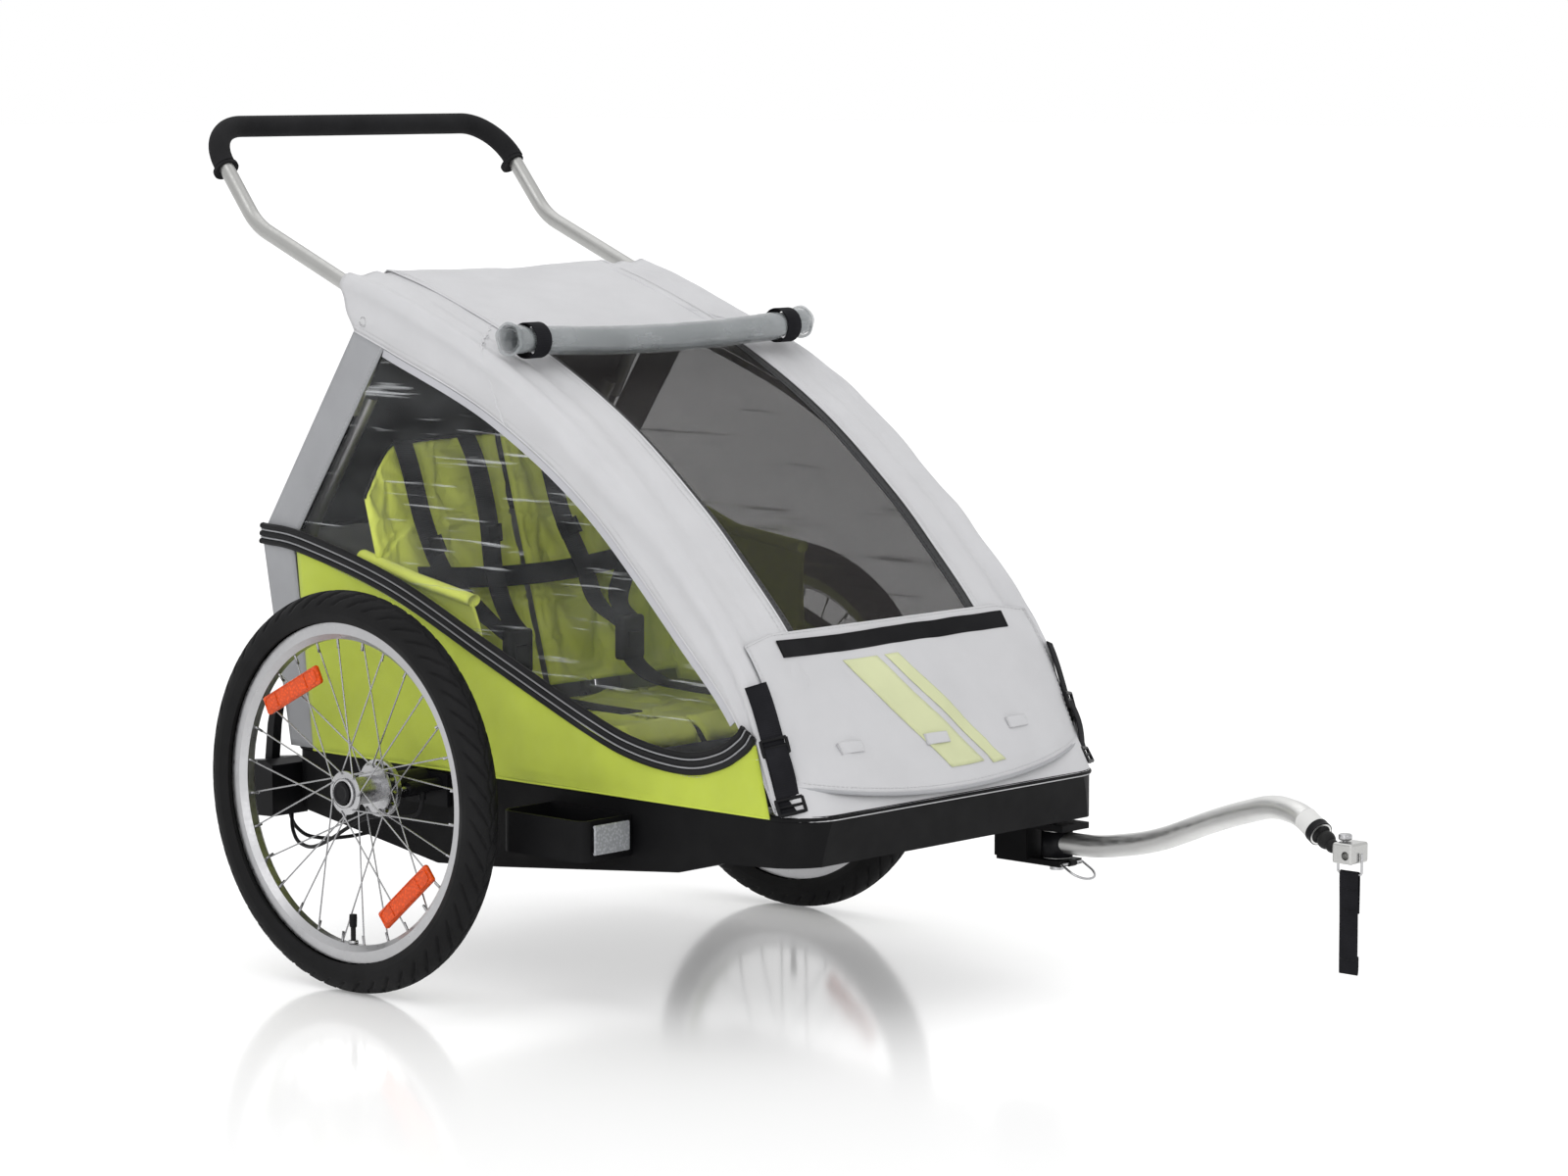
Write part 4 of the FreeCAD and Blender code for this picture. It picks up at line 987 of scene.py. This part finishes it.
def tabs(rows):
    """Three small sewn tabs above the hem."""
    for k, (x, z) in enumerate(TAB_PLACES, 1):
        points = []
        for dx in np.linspace(-TAB_HALF, TAB_HALF, 9):
            p, up = on_rows(rows, x + dx, z)
            points.append((x + dx, p[1], z) + up * (0.0014 + 0.0012 * (1 - (dx / TAB_HALF) ** 2)))
        on_canopy(ribbon(f"flap_tab_{k}", points, TAB_WAY, 0.013, 0.0012, "pale"))
        for label, shift in (("low", -0.0068), ("up", 0.0068)):
            edge = np.array(points) + np.array(TAB_WAY) * shift
            on_canopy(sweep(f"flap_tab_edge_{k}_{label}", edge, circle(0.0006, 6), "pale_thread"))


def stripes(rows):
    """Plain slanted stripes printed on the flap."""
    m, k, _ = rows.shape
    for label, centre, width in STRIPES:
        grid = []
        for i in range(9, m - 5):
            z = rows[i, k // 2, 2]
            middle = centre + (STRIPE_TOP_Z - z) * STRIPE_SLANT
            row = []
            for dx in np.linspace(-width, width, 9):
                p, up = on_rows(rows, middle + dx, z)
                row.append(np.array([middle + dx, p[1], p[2]]) + up * 0.0014)
            grid.append(row)
        on_canopy(sheet(f"printed_stripe_{label}", grid, "lime_print", 0.0003), "lime_fabric")


def skirt():
    """Pale fabric between the flap's hem and the tub's front edge."""
    hoop = smooth(HOOP_LINE, STATIONS)
    tub_low, tub_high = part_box("tub")
    top = np.interp(SKIRT_TOP, hoop[:, 1], hoop[:, 0]) - 0.0025
    rows = []
    for v in np.linspace(0, 1, 12):
        row = []
        for x in np.linspace(-SKIRT_HALF, SKIRT_HALF, 61):
            over = max(0.0, abs(x) - (tub_high.x - TUB_CORNER))
            rim = tub_low.y + TUB_CORNER - math.sqrt(max(TUB_CORNER ** 2 - over ** 2, 0)) - 0.0025
            row.append((x, top + (rim - top) * v ** 0.8, SKIRT_TOP + (SKIRT_LOW - SKIRT_TOP) * v))
        rows.append(row)
    panel("front_skirt", rows, "pale", on_canopy, "pale_fabric", (), CLOTH, 0.0012, 12.0)


CORNER_STRAP_LEAN = math.radians(62)  # how far round the corner it lies, from side to front
CORNER_STRAP_TOP = 0.425
CORNER_STRAP_LOW = 0.262
CORNER_STRAP_PROUD = 0.005
CORNER_STRAP_WIDTH = 0.028
CORNER_STRAP_END = slice(14, 26)  # stations over which its loose end lies on it
CORNER_BUCKLES = (("lock", 14, 0.032), ("hook", 27, 0.033))  # station and width
BUCKLE_HALF = 0.009  # half of a buckle's length


def corner_strap(name, side):
    """Black webbing down the hoop's corner, with its ladder lock and hook."""
    hoop = smooth(HOOP_LINE, STATIONS)
    n = normals(hoop)
    sine, cosine = math.sin(CORNER_STRAP_LEAN), math.cos(CORNER_STRAP_LEAN)
    reach = hoop[:, 1] < CORNER_STRAP_TOP
    line, out = [], []
    for h, m in zip(hoop[reach][::-1], n[reach][::-1]):
        p = h - m * CORNER_R + m * (CORNER_R + CORNER_STRAP_PROUD) * sine
        line.append((side * (SKIN_X - CORNER_R + (CORNER_R + CORNER_STRAP_PROUD) * cosine), *p))
        out.append((side * cosine, *(m * sine)))
    line, out = respaced(line, 30), respaced(out, 30)
    line[-6:] += out[-6:] * np.linspace(0, 0.006, 6)[:, None]
    line[-1, 2] = max(line[-1, 2], CORNER_STRAP_LOW)
    across = np.cross(np.gradient(line, axis=0), out)
    on_canopy(ribbon(f"front_strap_{name}", line, across, CORNER_STRAP_WIDTH, 0.0018, "webbing"),
              "webbing", ["strap_buckles"] if side > 0 else ())
    end = CORNER_STRAP_END
    rise = 0.003 + 0.004 * np.sin(np.linspace(0, math.pi, end.stop - end.start))
    on_canopy(ribbon(f"front_strap_end_{name}", line[end] + out[end] * rise[:, None], across[end],
                     CORNER_STRAP_WIDTH, 0.0016, "webbing"), "webbing")
    for label, k, width in CORNER_BUCKLES:
        w, along = unit(across[k]), unit(line[k + 1] - line[k - 1])
        corners = [line[k] + w * a * width / 2 + along * b * BUCKLE_HALF + out[k] * 0.003
                   for a, b in SQUARE]
        bar = [corners[0] * 0.5 + corners[3] * 0.5, corners[1] * 0.5 + corners[2] * 0.5]
        parts = [sweep("side", respaced(corners, 41), circle(0.0022, 8), "plastic"),
                 sweep("bar", bar, circle(0.0018, 8), "plastic")]
        on_canopy(joined(f"front_strap_{label}_{name}", parts), "black_plastic")


ROLL_HALF = 0.263  # half length of the rolled cover
ROLL_AT = (-0.146, 0.8075)  # y, z of its middle at the trailer's middle
ROLL_TURNS = 2.6
ROLL_R = 0.0135  # of the innermost turn
ROLL_GROWTH = 0.0075  # from the innermost to the outermost turn
ROLL_SAG = 0.010
ROLL_STRAP = 0.86  # share of the half length where its straps lie


def rolled_cover():
    """Clear cover rolled up in a loose spiral, sagging between two hook-tape straps."""
    rows = []
    for t in np.linspace(-1, 1, 61):
        sag = ROLL_SAG * (1 - t * t)
        middle = np.array([ROLL_HALF * t, ROLL_AT[0] + 0.006 * t * t, ROLL_AT[1] - sag])
        row = []
        for a in np.linspace(0, 2 * math.pi * ROLL_TURNS, 90):
            r = ROLL_R + ROLL_GROWTH * a / (2 * math.pi * ROLL_TURNS)
            squeeze = 1 - 0.14 * (abs(abs(t) - ROLL_STRAP) < 0.05)
            ripple = 1 + 0.05 * noise.noise(Vector((t * 6, math.cos(a) * 1.2, math.sin(a) * 1.2)))
            row.append(middle + np.array([0, math.cos(a), math.sin(a) * 0.92]) * r * squeeze * ripple)
        rows.append(row)
    on_canopy(sheet("rolled_rain_cover", rows, "roll", 0.0006), "clear_film", ["rolled_cover"])
    for name, side in SIDES.items():
        loop, lip = [], []
        for a in np.linspace(0, 2 * math.pi, 33):
            loop.append((side * ROLL_HALF * ROLL_STRAP, -0.1415 + 0.0225 * math.cos(a),
                         0.805 + 0.0215 * math.sin(a)))
            lip.append((side * (ROLL_HALF + 0.0005 + 0.0012 * math.sin(5 * a)),
                        -0.140 + 0.0208 * math.cos(a), 0.8075 + 0.0195 * math.sin(a)))
        on_canopy(ribbon(f"cover_strap_{name}", loop, (1, 0, 0), 0.025, 0.0018, "webbing"), "webbing")
        on_canopy(sweep(f"cover_hem_{name}", lip, circle(0.0021, 8), "roll"), "clear_film")


# ---------------------------------------------------------------- side fabric


STRIP_TOP, STRIP_LOW = (0.072, 0.7875), (0.243, 0.5365)  # front edge of the grey rear strip
STRIP_FOOT = (0.206, 0.270)
LIME_FRONT = (-0.566, 0.352)  # the lime panel's front corner, y and z
LIME_FOOT = [(-0.590, 0.268), (0.208, 0.268)]
TRIM_PROUD = 0.0035  # of the trim's tape over the side's face
CORD_PROUD = 0.0016  # of its cords over the tape
# the two thin grey cords between the black pipings are painted highlights: light lines that stand for light
# caught between them
TRIM_CORDS = (("piping_upper", 0.0100, 0.0036, "piping"), ("piping_middle", 0.0, 0.0036, "piping"),
              ("piping_lower", -0.0100, 0.0036, "piping"), ("painted_highlight_upper", 0.0050, 0.0012, "grey"),
              ("painted_highlight_lower", -0.0050, 0.0012, "grey"))  # shift up the side, radius, material
REAR_HALF = SKIN_X - 0.001
REAR_KNEE, REAR_LOW, REAR_HIGH = (0.3035, 0.543), (0.252, 0.271), (0.131, 0.862)


def side_windows():
    """Clear vinyl in each side, with its border and the piped trim line below it."""
    for name, side in SIDES.items():
        edge = smooth(WINDOW_EDGE, 80)
        top = edge[(edge[:, 1] > 0.372) & (edge[:, 0] < STRIP_TOP[0])]
        above = respaced(np.vstack([top, STRIP_TOP, STRIP_LOW]), 90)
        trim = smooth(TRIM_LINE, 200)[::-1]
        below = respaced(trim[trim[:, 0] < STRIP_LOW[0]], 90)
        x = side * (SKIN_X - 0.0018)
        rows = ruled(at_x(above, x), at_x(below, x), 44)
        panel(f"side_vinyl_{name}", rows, "window", crumples, "smoked_film", [f"side_window_{name}"], 0.0006,
              0.0035)
        border(name, side, top)
        rear_strip(name, side)
        trim_piping(name, side)
        lower_panel(name, side)


def border(name, side, top):
    """Pale zip tape between band and vinyl."""
    line = at_x(offset(top, -0.007), side * (SKIN_X - 0.0004))
    crumples(ribbon(f"window_tape_{name}", line, np.cross(np.gradient(line, axis=0), (1, 0, 0)), 0.010,
                    0.0012, "pale_hem"), "pale_fabric")


def rear_strip(name, side):
    """Grey fabric down the rear corner, above and below the trim."""
    for label, x, rear, front in (("upper", side * SKIN_X, [REAR_TOP, KNEE], [STRIP_TOP, STRIP_LOW]),
                                  ("lower", side * (SKIN_X + 0.003), [KNEE, REAR_FOOT],
                                   [STRIP_LOW, STRIP_FOOT])):
        rows = ruled(respaced(at_x(rear, x), 30), respaced(at_x(front, x), 30), 8)
        panel(f"rear_corner_{label}_{name}", rows, "grey", crumples, "grey_fabric", (), CLOTH, 0.0012, 12.0)
        if label == "upper":
            crumples(seam(f"rear_corner_stitch_{name}", rows, 0.005, "pale_thread", True, False))


def trim_piping(name, side):
    """Three black pipings on dark tape, from the rear knee round the window's front corner, with two thin
    grey cords between them that are painted highlights.
    """
    line = smooth(TRIM_LINE, 150)
    x = side * (SKIN_X + TRIM_PROUD)
    base = at_x(line, x)
    crumples(ribbon(f"trim_tape_{name}", base, np.cross(np.gradient(base, axis=0), (1, 0, 0)), 0.028, 0.0018,
                    "black_cloth"), "black_fabric")
    for label, shift, radius, material in TRIM_CORDS:
        path = at_x(offset(line, shift), x + side * CORD_PROUD)
        crumples(sweep(f"trim_{label}_{name}", path, circle(radius, 10 if material == "piping" else 8),
                       material))


def lower_panel(name, side):
    """Lime side from the trim down over the tub's rim."""
    trim = smooth(TRIM_LINE, 200)[::-1]
    above = respaced(trim[(trim[:, 0] < STRIP_LOW[0]) & (trim[:, 0] > -0.552)], 90)
    above = respaced(np.vstack([LIME_FRONT, above[2:]]), 90)
    below = respaced(LIME_FOOT, 90)
    rows = ruled(at_x(above, side * (SKIN_X + 0.0022)), at_x(below, side * (SKIN_X + 0.0042)), 34)
    panel(f"lime_side_{name}", rows, "lime", crumples, "lime_fabric", [f"side_panel_{name}"], CLOTH,
          0.0052, 7.5)
    crumples(seam(f"lime_side_stitch_{name}", rows, 0.017, "pale_thread", False, False))
    crumples(hem(f"lime_side_edge_{name}", rows, 0.0014, "lime", True, False))


def rear_fabric():
    """Dark mesh and grey lower cloth behind the luggage space."""
    mesh_half = REAR_HALF - 0.004
    profile = respaced([REAR_KNEE, (0.129, 0.812), REAR_HIGH], 40)
    rows = ruled(at_x(profile, -mesh_half), at_x(profile, mesh_half), 60).transpose(1, 0, 2)
    rows[:, :, 0] *= np.where(rows[:, :, 2] > 0.80, 0.90, 1.0)
    panel("rear_upper_mesh", rows, "rear_mesh", crumples, "mesh_fabric", ["rear_panel_upper"], 0.0008,
          0.003, 6.0)
    profile = respaced([REAR_LOW, (0.276, 0.409), REAR_KNEE], 34)
    rows = ruled(at_x(profile, -REAR_HALF), at_x(profile, REAR_HALF), 60).transpose(1, 0, 2)
    panel("rear_lower_cloth", rows, "grey", crumples, "grey_fabric", ["rear_panel_lower"], CLOTH, 0.003, 7.0)
    knee_line = respaced([(-REAR_HALF, *REAR_KNEE), (REAR_HALF, *REAR_KNEE)], 40)
    crumples(sweep("rear_knee_piping", knee_line, circle(0.0028, 10), "piping"))
    for name, side in SIDES.items():
        line = respaced(at_x([REAR_TOP, KNEE, REAR_FOOT], side * REAR_HALF), 60)
        crumples(sweep(f"rear_corner_piping_{name}", line, circle(0.0016, 8), "grey"))


# ---------------------------------------------------------------- seats and harness

BACK_RUN = np.array(BACK_HEAD) - np.array(BACK_FOOT)
BACK_LENGTH = float(np.linalg.norm(BACK_RUN))
BACK_WAY = BACK_RUN / BACK_LENGTH
BACK_OUT = np.array([-BACK_WAY[1], BACK_WAY[0]])
SEAT_TOP_Z = 0.325
PAD_HALF = 0.123  # half width of one child's pads
PAD_X = 0.128
PAD_FLAT = 0.010  # pad thickness before it is filled
PAD_PRESSURE = 3.2
PAD_FRAMES = 22
SEAT_FRONT_Y, SEAT_DEPTH = -0.216, 0.300
SHOULDER_SEAMS = [0.5 - 0.40, 0.5, 0.5 + 0.40]
STRAP_WIDTH, STRAP_THICK = 0.032, 0.0020
BELT_HALF, BELT_WIDTH = 0.205, 0.027


def on_back(x, along, out):
    """A point in front of the backrest: along it from foot (0) to head (1)."""
    y, z = np.array(BACK_FOOT) + BACK_RUN * along + BACK_OUT * out
    return np.array([x, y, z])


def stuffed(name, place, columns, rows, seams, material):
    """A filled pad: two cloths sewn at the border and along seams, blown up and left to settle.

    place(u, v, side) gives a point of the flat pad, side 1 on its face and -1 on its back.
    """
    us, vs = np.linspace(0, 1, columns), np.linspace(0, 1, rows)
    points, pins, index = [], [], {}
    for side in (1, -1):
        for i, v in enumerate(vs):
            for j, u in enumerate(us):
                rim = i in (0, rows - 1) or j in (0, columns - 1)
                if side < 0 and rim:
                    index[side, i, j] = index[1, i, j]
                    continue
                index[side, i, j] = len(points)
                sewn = any(abs(u - s) < 0.5 / columns for s in seams[0]) or any(
                    abs(v - s) < 0.5 / rows for s in seams[1])
                points.append(place(u, v, 0 if rim else side * (0.15 if sewn else 1.0)))
                if rim or sewn or side < 0:
                    pins.append(len(points) - 1)
    faces = []
    for side in (1, -1):
        for i in range(rows - 1):
            for j in range(columns - 1):
                quad = [index[side, i, j], index[side, i, j + 1], index[side, i + 1, j + 1],
                        index[side, i + 1, j]]
                faces.append(quad if side > 0 else quad[::-1])
    piece = add_mesh(name, points, faces, material)
    fill(piece, pins)
    return piece


def fill(piece, pins):
    """Runs the cloth simulation that gives a pad its puckers, and keeps the result."""
    group = piece.vertex_groups.new(name="sewn")
    group.add(pins, 1.0, "REPLACE")
    mod = piece.modifiers.new("fill", "CLOTH")
    settings = mod.settings
    settings.quality = 6
    settings.mass = 0.25
    settings.tension_stiffness = 25
    settings.compression_stiffness = 12
    settings.shear_stiffness = 8
    settings.bending_stiffness = 0.25
    settings.shrink_min = -0.07
    settings.vertex_group_mass = "sewn"
    settings.use_pressure = True
    settings.uniform_pressure_force = PAD_PRESSURE
    settings.effector_weights.gravity = 0.2
    settings.air_damping = 4
    mod.collision_settings.use_self_collision = False
    mod.point_cache.frame_end = PAD_FRAMES
    scene = bpy.context.scene
    for frame_number in range(1, PAD_FRAMES + 1):
        scene.frame_set(frame_number)
    done = bpy.data.meshes.new_from_object(piece.evaluated_get(bpy.context.evaluated_depsgraph_get()))
    piece.modifiers.clear()
    piece.data = done
    scene.frame_set(1)


def backrest_top(x):
    """How far up the backrest reaches, falling off at its outer side."""
    return 0.97 - 0.03 * (x / 0.25) ** 2 - 0.17 * max(0.0, (x - 0.185) / 0.065) ** 1.3


def seat_pads():
    """A quilted backrest and a seat cushion for each child."""
    for name, side in SIDES.items():
        def pad_x(u, side=side):
            return side * PAD_X + (u - 0.5) * 2 * PAD_HALF

        def back(u, v, out, pad_x=pad_x):
            top = backrest_top(abs(pad_x(u)))
            return on_back(pad_x(u), v * top + 0.02, -0.010 + out * PAD_FLAT / 2)

        def base(u, v, out, pad_x=pad_x):
            drop = 0.022 * max(0.0, 1 - v / 0.10) ** 2
            return np.array([pad_x(u), SEAT_FRONT_Y + SEAT_DEPTH * v,
                             SEAT_TOP_Z - 0.012 - drop + out * PAD_FLAT / 2])

        pad = stuffed(f"backrest_pad_{name}", back, 47, 61, (SHOULDER_SEAMS, [0.35, 0.68]), "lime_seat")
        fold_squash(pad, "lime_fabric", ["seat_back"] if side > 0 else ())
        cushion = stuffed(f"seat_cushion_{name}", base, 43, 45, ([0.5], [0.5]), "lime_seat")
        put(cushion, "chassis", "lime_fabric", ["seat_base"] if side > 0 else ())
        wing(name, side)
        back_edge(name, side)


def back_edge(name, side):
    """Piped top edge of a backrest."""
    xs = [side * PAD_X + t * PAD_HALF for t in np.linspace(-1, 1, 31)]
    line = [on_back(x, backrest_top(abs(x)) + 0.022, -0.010) for x in xs]
    fold_squash(sweep(f"backrest_piping_{name}", line, circle(0.0024, 8), "piping"))


WING_TOP = {"right": [(0.150, 0.520), (0.050, 0.497), (-0.055, 0.478)],
            "left": [(0.118, 0.592), (0.059, 0.566), (-0.039, 0.530), (-0.161, 0.515)]}
WING_X = 0.248


def wing(name, side):
    """Lime cloth wall beside each seat, with a rolled top hem."""
    x = side * WING_X
    edge = respaced(WING_TOP[name], 30)
    foot = respaced([(0.066, 0.322), (edge[-1, 0] - 0.025, 0.320)], 30)
    rows = ruled(at_x(edge, x), at_x(foot, x - side * 0.003), 20, 0.012, (-side, 0, 0))
    panel(f"seat_wing_{name}", rows, "lime_seat", fold_squash, "lime_fabric", (), CLOTH, 0.006)
    fold_squash(sweep(f"seat_wing_hem_{name}", at_x(edge, x - side * 0.003), circle(0.0105, 16, 0.75),
                      "lime_seat"), "lime_fabric")


def harness():
    """Shoulder, waist and crotch straps with their adjusters."""
    belt = [on_back(x, 0.455 - 0.02 * math.cos(x / 0.26 * math.pi), 0.012 + 0.006 * math.cos(x * 24))
            for x in np.linspace(-BELT_HALF, BELT_HALF, 61)]
    fold_squash(ribbon("waist_belt", belt, (0, *BACK_WAY), BELT_WIDTH, STRAP_THICK, "webbing"),
                "webbing", ["harness"])
    for name, side in SIDES.items():
        centre, above = side * SEAT_X, side * STRAP_X
        for label, way in (("inner", -side), ("outer", side)):
            line = smooth([on_back(above + way * 0.056, 0.985, 0.001),
                           on_back(above + way * 0.058, 0.86, 0.009),
                           on_back(above + way * 0.056, 0.66, 0.012),
                           on_back(above + way * 0.042, 0.46, 0.018),
                           on_back(centre + way * 0.020, 0.30, 0.028),
                           (centre + way * 0.012, 0.018, 0.414)], 40)
            fold_squash(ribbon(f"shoulder_strap_{label}_{name}", line, (1, 0, 0), STRAP_WIDTH, STRAP_THICK,
                               "webbing"), "webbing")
            fold_squash(sweep(f"strap_adjuster_{label}_{name}", line[17:21] + np.array([0, -0.003, 0.001]),
                              oblong(0.038, 0.006), "plastic"), "black_plastic")
        line = smooth([(centre, -0.190, 0.336), (centre, -0.110, 0.337), (centre, -0.040, 0.342),
                       (centre, 0.002, 0.360), (centre, 0.015, 0.378)], 40)
        put(ribbon(f"crotch_strap_{name}", line, (1, 0, 0), 0.036, 0.0022, "webbing"), "chassis", "webbing")


def inside():
    """Seats, harness, buckles and the dark floor."""
    seat_pads()
    harness()
    paint("footwell", "lining")
    paint("buckle_housings", "plastic")
    for name in SIDES:
        paint(f"buckle_button_{name}", "plastic")


# ---------------------------------------------------------------- tub, frame and brake


FRONT_REFLECTOR_AT = (0.329, -0.3645, 0.224)  # its middle, on the front of a wheel guard
FRONT_REFLECTOR_HALF = (0.016, 0.015)
GRIP_END = [(0.2565, 0.394, 1.0075), (0.2568, 0.391, 1.0045)]  # the left one
ARM_EYE_AT = (0.235, -0.600, 0.176)  # the drawbar's pivot
ARM_EYE = [(-0.0165, 0.0185), (-0.0165, 0.0198), (0.0165, 0.0198), (0.0165, 0.0185)]
LABEL_SHARE = (0.20, 0.80)  # part of the arm's last run that the label covers
LABEL_R = 0.01425
RING_R = 0.0152  # the plastic end ring of the arm
RING_BACK = (0.010, 0.0005)  # where it starts and ends, back from the arm's end


def tub_details():
    """Rolled rim of the tub and the front reflectors' frames."""
    low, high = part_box("tub")
    outline = []
    for cx, cy, start in ((1, 1, 0), (-1, 1, 90), (-1, -1, 180), (1, -1, 270)):
        r = TUB_CORNER if cy < 0 else TUB_REAR_CORNER
        x0 = (high.x if cx > 0 else low.x) - cx * r
        y0 = (high.y if cy > 0 else low.y) - cy * r
        for t in np.radians(np.linspace(start, start + 90, 14)):
            outline.append((x0 + r * math.cos(t), y0 + r * math.sin(t), high.z - 0.004))
    outline = respaced(outline + outline[:1], 400)[:-1]
    put(sweep("tub_rim_bead", outline, circle(0.0028, 10), "tub", True), "chassis")
    x, y, z = FRONT_REFLECTOR_AT
    wide, tall = FRONT_REFLECTOR_HALF
    for name, side in SIDES.items():
        line = [(side * x + a * wide, y, z + b * tall) for a, b in SQUARE]
        put(sweep(f"front_reflector_frame_{name}", respaced(line, 81), circle(0.0014, 6), "plastic"),
            "chassis")


def push_bar_details():
    """Thicker ends of the foam grip."""
    for name, side in SIDES.items():
        line = [(side * x, y, z) for x, y, z in GRIP_END]
        put(sweep(f"grip_end_{name}", line, circle(0.0172, 24), "foam"), "push_bar")


def hitch_details():
    """Blank label, eye cover and end ring of the drawbar."""
    bend, end = np.array(ARM_BEND), np.array(ARM_END)
    run = end - bend
    length = np.linalg.norm(run)
    way = run / length
    start, stop = (bend + way * length * share for share in LABEL_SHARE)
    put(sweep("arm_label", np.linspace(start, stop, 12), circle(LABEL_R, 40), "label"), "tow_arm")
    put(lathe("arm_eye_cover", ARM_EYE, ARM_EYE_AT, "plastic", 48, "z"), "tow_arm")
    start, stop = (end - way * back for back in RING_BACK)
    put(sweep("arm_end_ring", np.linspace(start, stop, 5), circle(RING_R, 40), "plastic"), "tow_arm")


def safety_strap():
    """Webbing loop that hangs from the coupling's wire, sewn back on itself."""
    low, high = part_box("safety_strap")
    x, y = (low.x + high.x) / 2, (low.y + high.y) / 2
    top = high.z
    loop = [(x + 0.0016, y, top - 0.050), (x + 0.0022, y, top - 0.012), (x + 0.0016, y, top - 0.003),
            (x, y, top - 0.0012), (x - 0.0016, y, top - 0.003), (x - 0.0022, y, top - 0.012),
            (x - 0.0012, y, top - 0.055), (x - 0.0008, y, low.z + 0.006), (x, y, low.z + 0.0012),
            (x + 0.0012, y, low.z + 0.006), (x + 0.0014, y, low.z + 0.022)]
    strap = ribbon("safety_webbing", smooth(loop, 90), (0, 1, 0), high.y - low.y, 0.0016, "webbing")
    put(strap, "safety_strap", "webbing", ["safety_strap"])
    for k, z in enumerate((top - 0.022, top - 0.046, low.z + 0.018), 1):
        line = [(x - 0.0032, low.y + 0.002, z), (x - 0.0032, high.y - 0.002, z)]
        put(stitches(f"safety_strap_stitch_{k}", line, (-1, 0, 0), "piping"), "safety_strap")


def frame_pieces():
    """CAD pieces that keep their shape and get finished materials."""
    for node, material in (("tub", "tub"), ("base_frame", "frame_metal"), ("hinge_bolts", "steel"),
                           ("axle_tube", "plastic"), ("stub_axles", "steel"), ("wheel_guards", "tub"),
                           ("front_reflectors", "clear"), ("canopy_frame", "frame_metal"),
                           ("rear_frame", "frame_metal"), ("push_bar", "tube_metal"), ("foam_grip", "foam"),
                           ("tow_bracket", "tub"), ("tow_arm", "arm_metal"), ("hitch_elastomer", "tube"),
                           ("hitch_block", "block_metal"), ("hitch_pin", "steel"), ("hitch_bail", "steel"),
                           ("pull_loop", "steel"), ("brake_housing", "plastic"), ("brake_lever", "plastic"),
                           ("brake_cables", "piping")):
        paint(node, material)


# ---------------------------------------------------------------- studio


FLOOR_HALF = 60.0
LOOK_AT = (0, -0.2, 0.4)
LIGHTS = (("key", (-2.6, -1.2, 3.4), 2.4, 24.0), ("front", (-0.6, -4.0, 2.2), 2.0, 11.0),
          ("top", (0.6, 0.8, 3.6), 3.0, 18.0), ("side", (-3.6, -2.0, 1.1), 1.6, 17.0))  # place, size, watts


def studio():
    """White floor, soft box lights and the camera."""
    world = bpy.data.worlds.new("studio")
    world.use_nodes = True
    world.node_tree.nodes["Background"].inputs["Color"].default_value = (1, 1, 1, 1)
    world.node_tree.nodes["Background"].inputs["Strength"].default_value = 1.0
    scene = bpy.context.scene
    scene.world = world
    scene.view_settings.view_transform = "Standard"
    ground = Shader("white_floor", (0.90, 0.90, 0.90), 0.11, Specular_IOR_Level=0.5)
    ground.set("Emission Color", (1, 1, 1, 1))
    ground.set("Emission Strength", 0.18)
    corners = [(x * FLOOR_HALF, y * FLOOR_HALF, 0) for x, y in SQUARE[:4]]
    mat["floor"] = ground.material
    add_mesh("floor", corners, [(0, 1, 2, 3)], "floor")
    for name, place, width, power in LIGHTS:
        light = bpy.data.lights.new(name, "AREA")
        light.size = width
        light.energy = power
        lamp = bpy.data.objects.new(name, light)
        lamp.location = place
        lamp.rotation_euler = (Vector(LOOK_AT) - Vector(place)).to_track_quat("-Z", "Y").to_euler()
        scene.collection.objects.link(lamp)
    data = bpy.data.cameras.new("camera")
    data.lens = CAMERA_LENS
    data.sensor_width = 36.0
    camera = bpy.data.objects.new("camera", data)
    camera.location = CAMERA_AT
    camera.rotation_euler = (math.pi / 2 - CAMERA_PITCH, 0, -CAMERA_YAW)
    scene.collection.objects.link(camera)
    scene.camera = camera


wheels()
bands()
roof()
studs()
front_mesh()
front_flap()
skirt()
for strap_name, strap_side in SIDES.items():
    corner_strap(strap_name, strap_side)
rolled_cover()
side_windows()
rear_fabric()
inside()
tub_details()
push_bar_details()
hitch_details()
safety_strap()
frame_pieces()
studio()
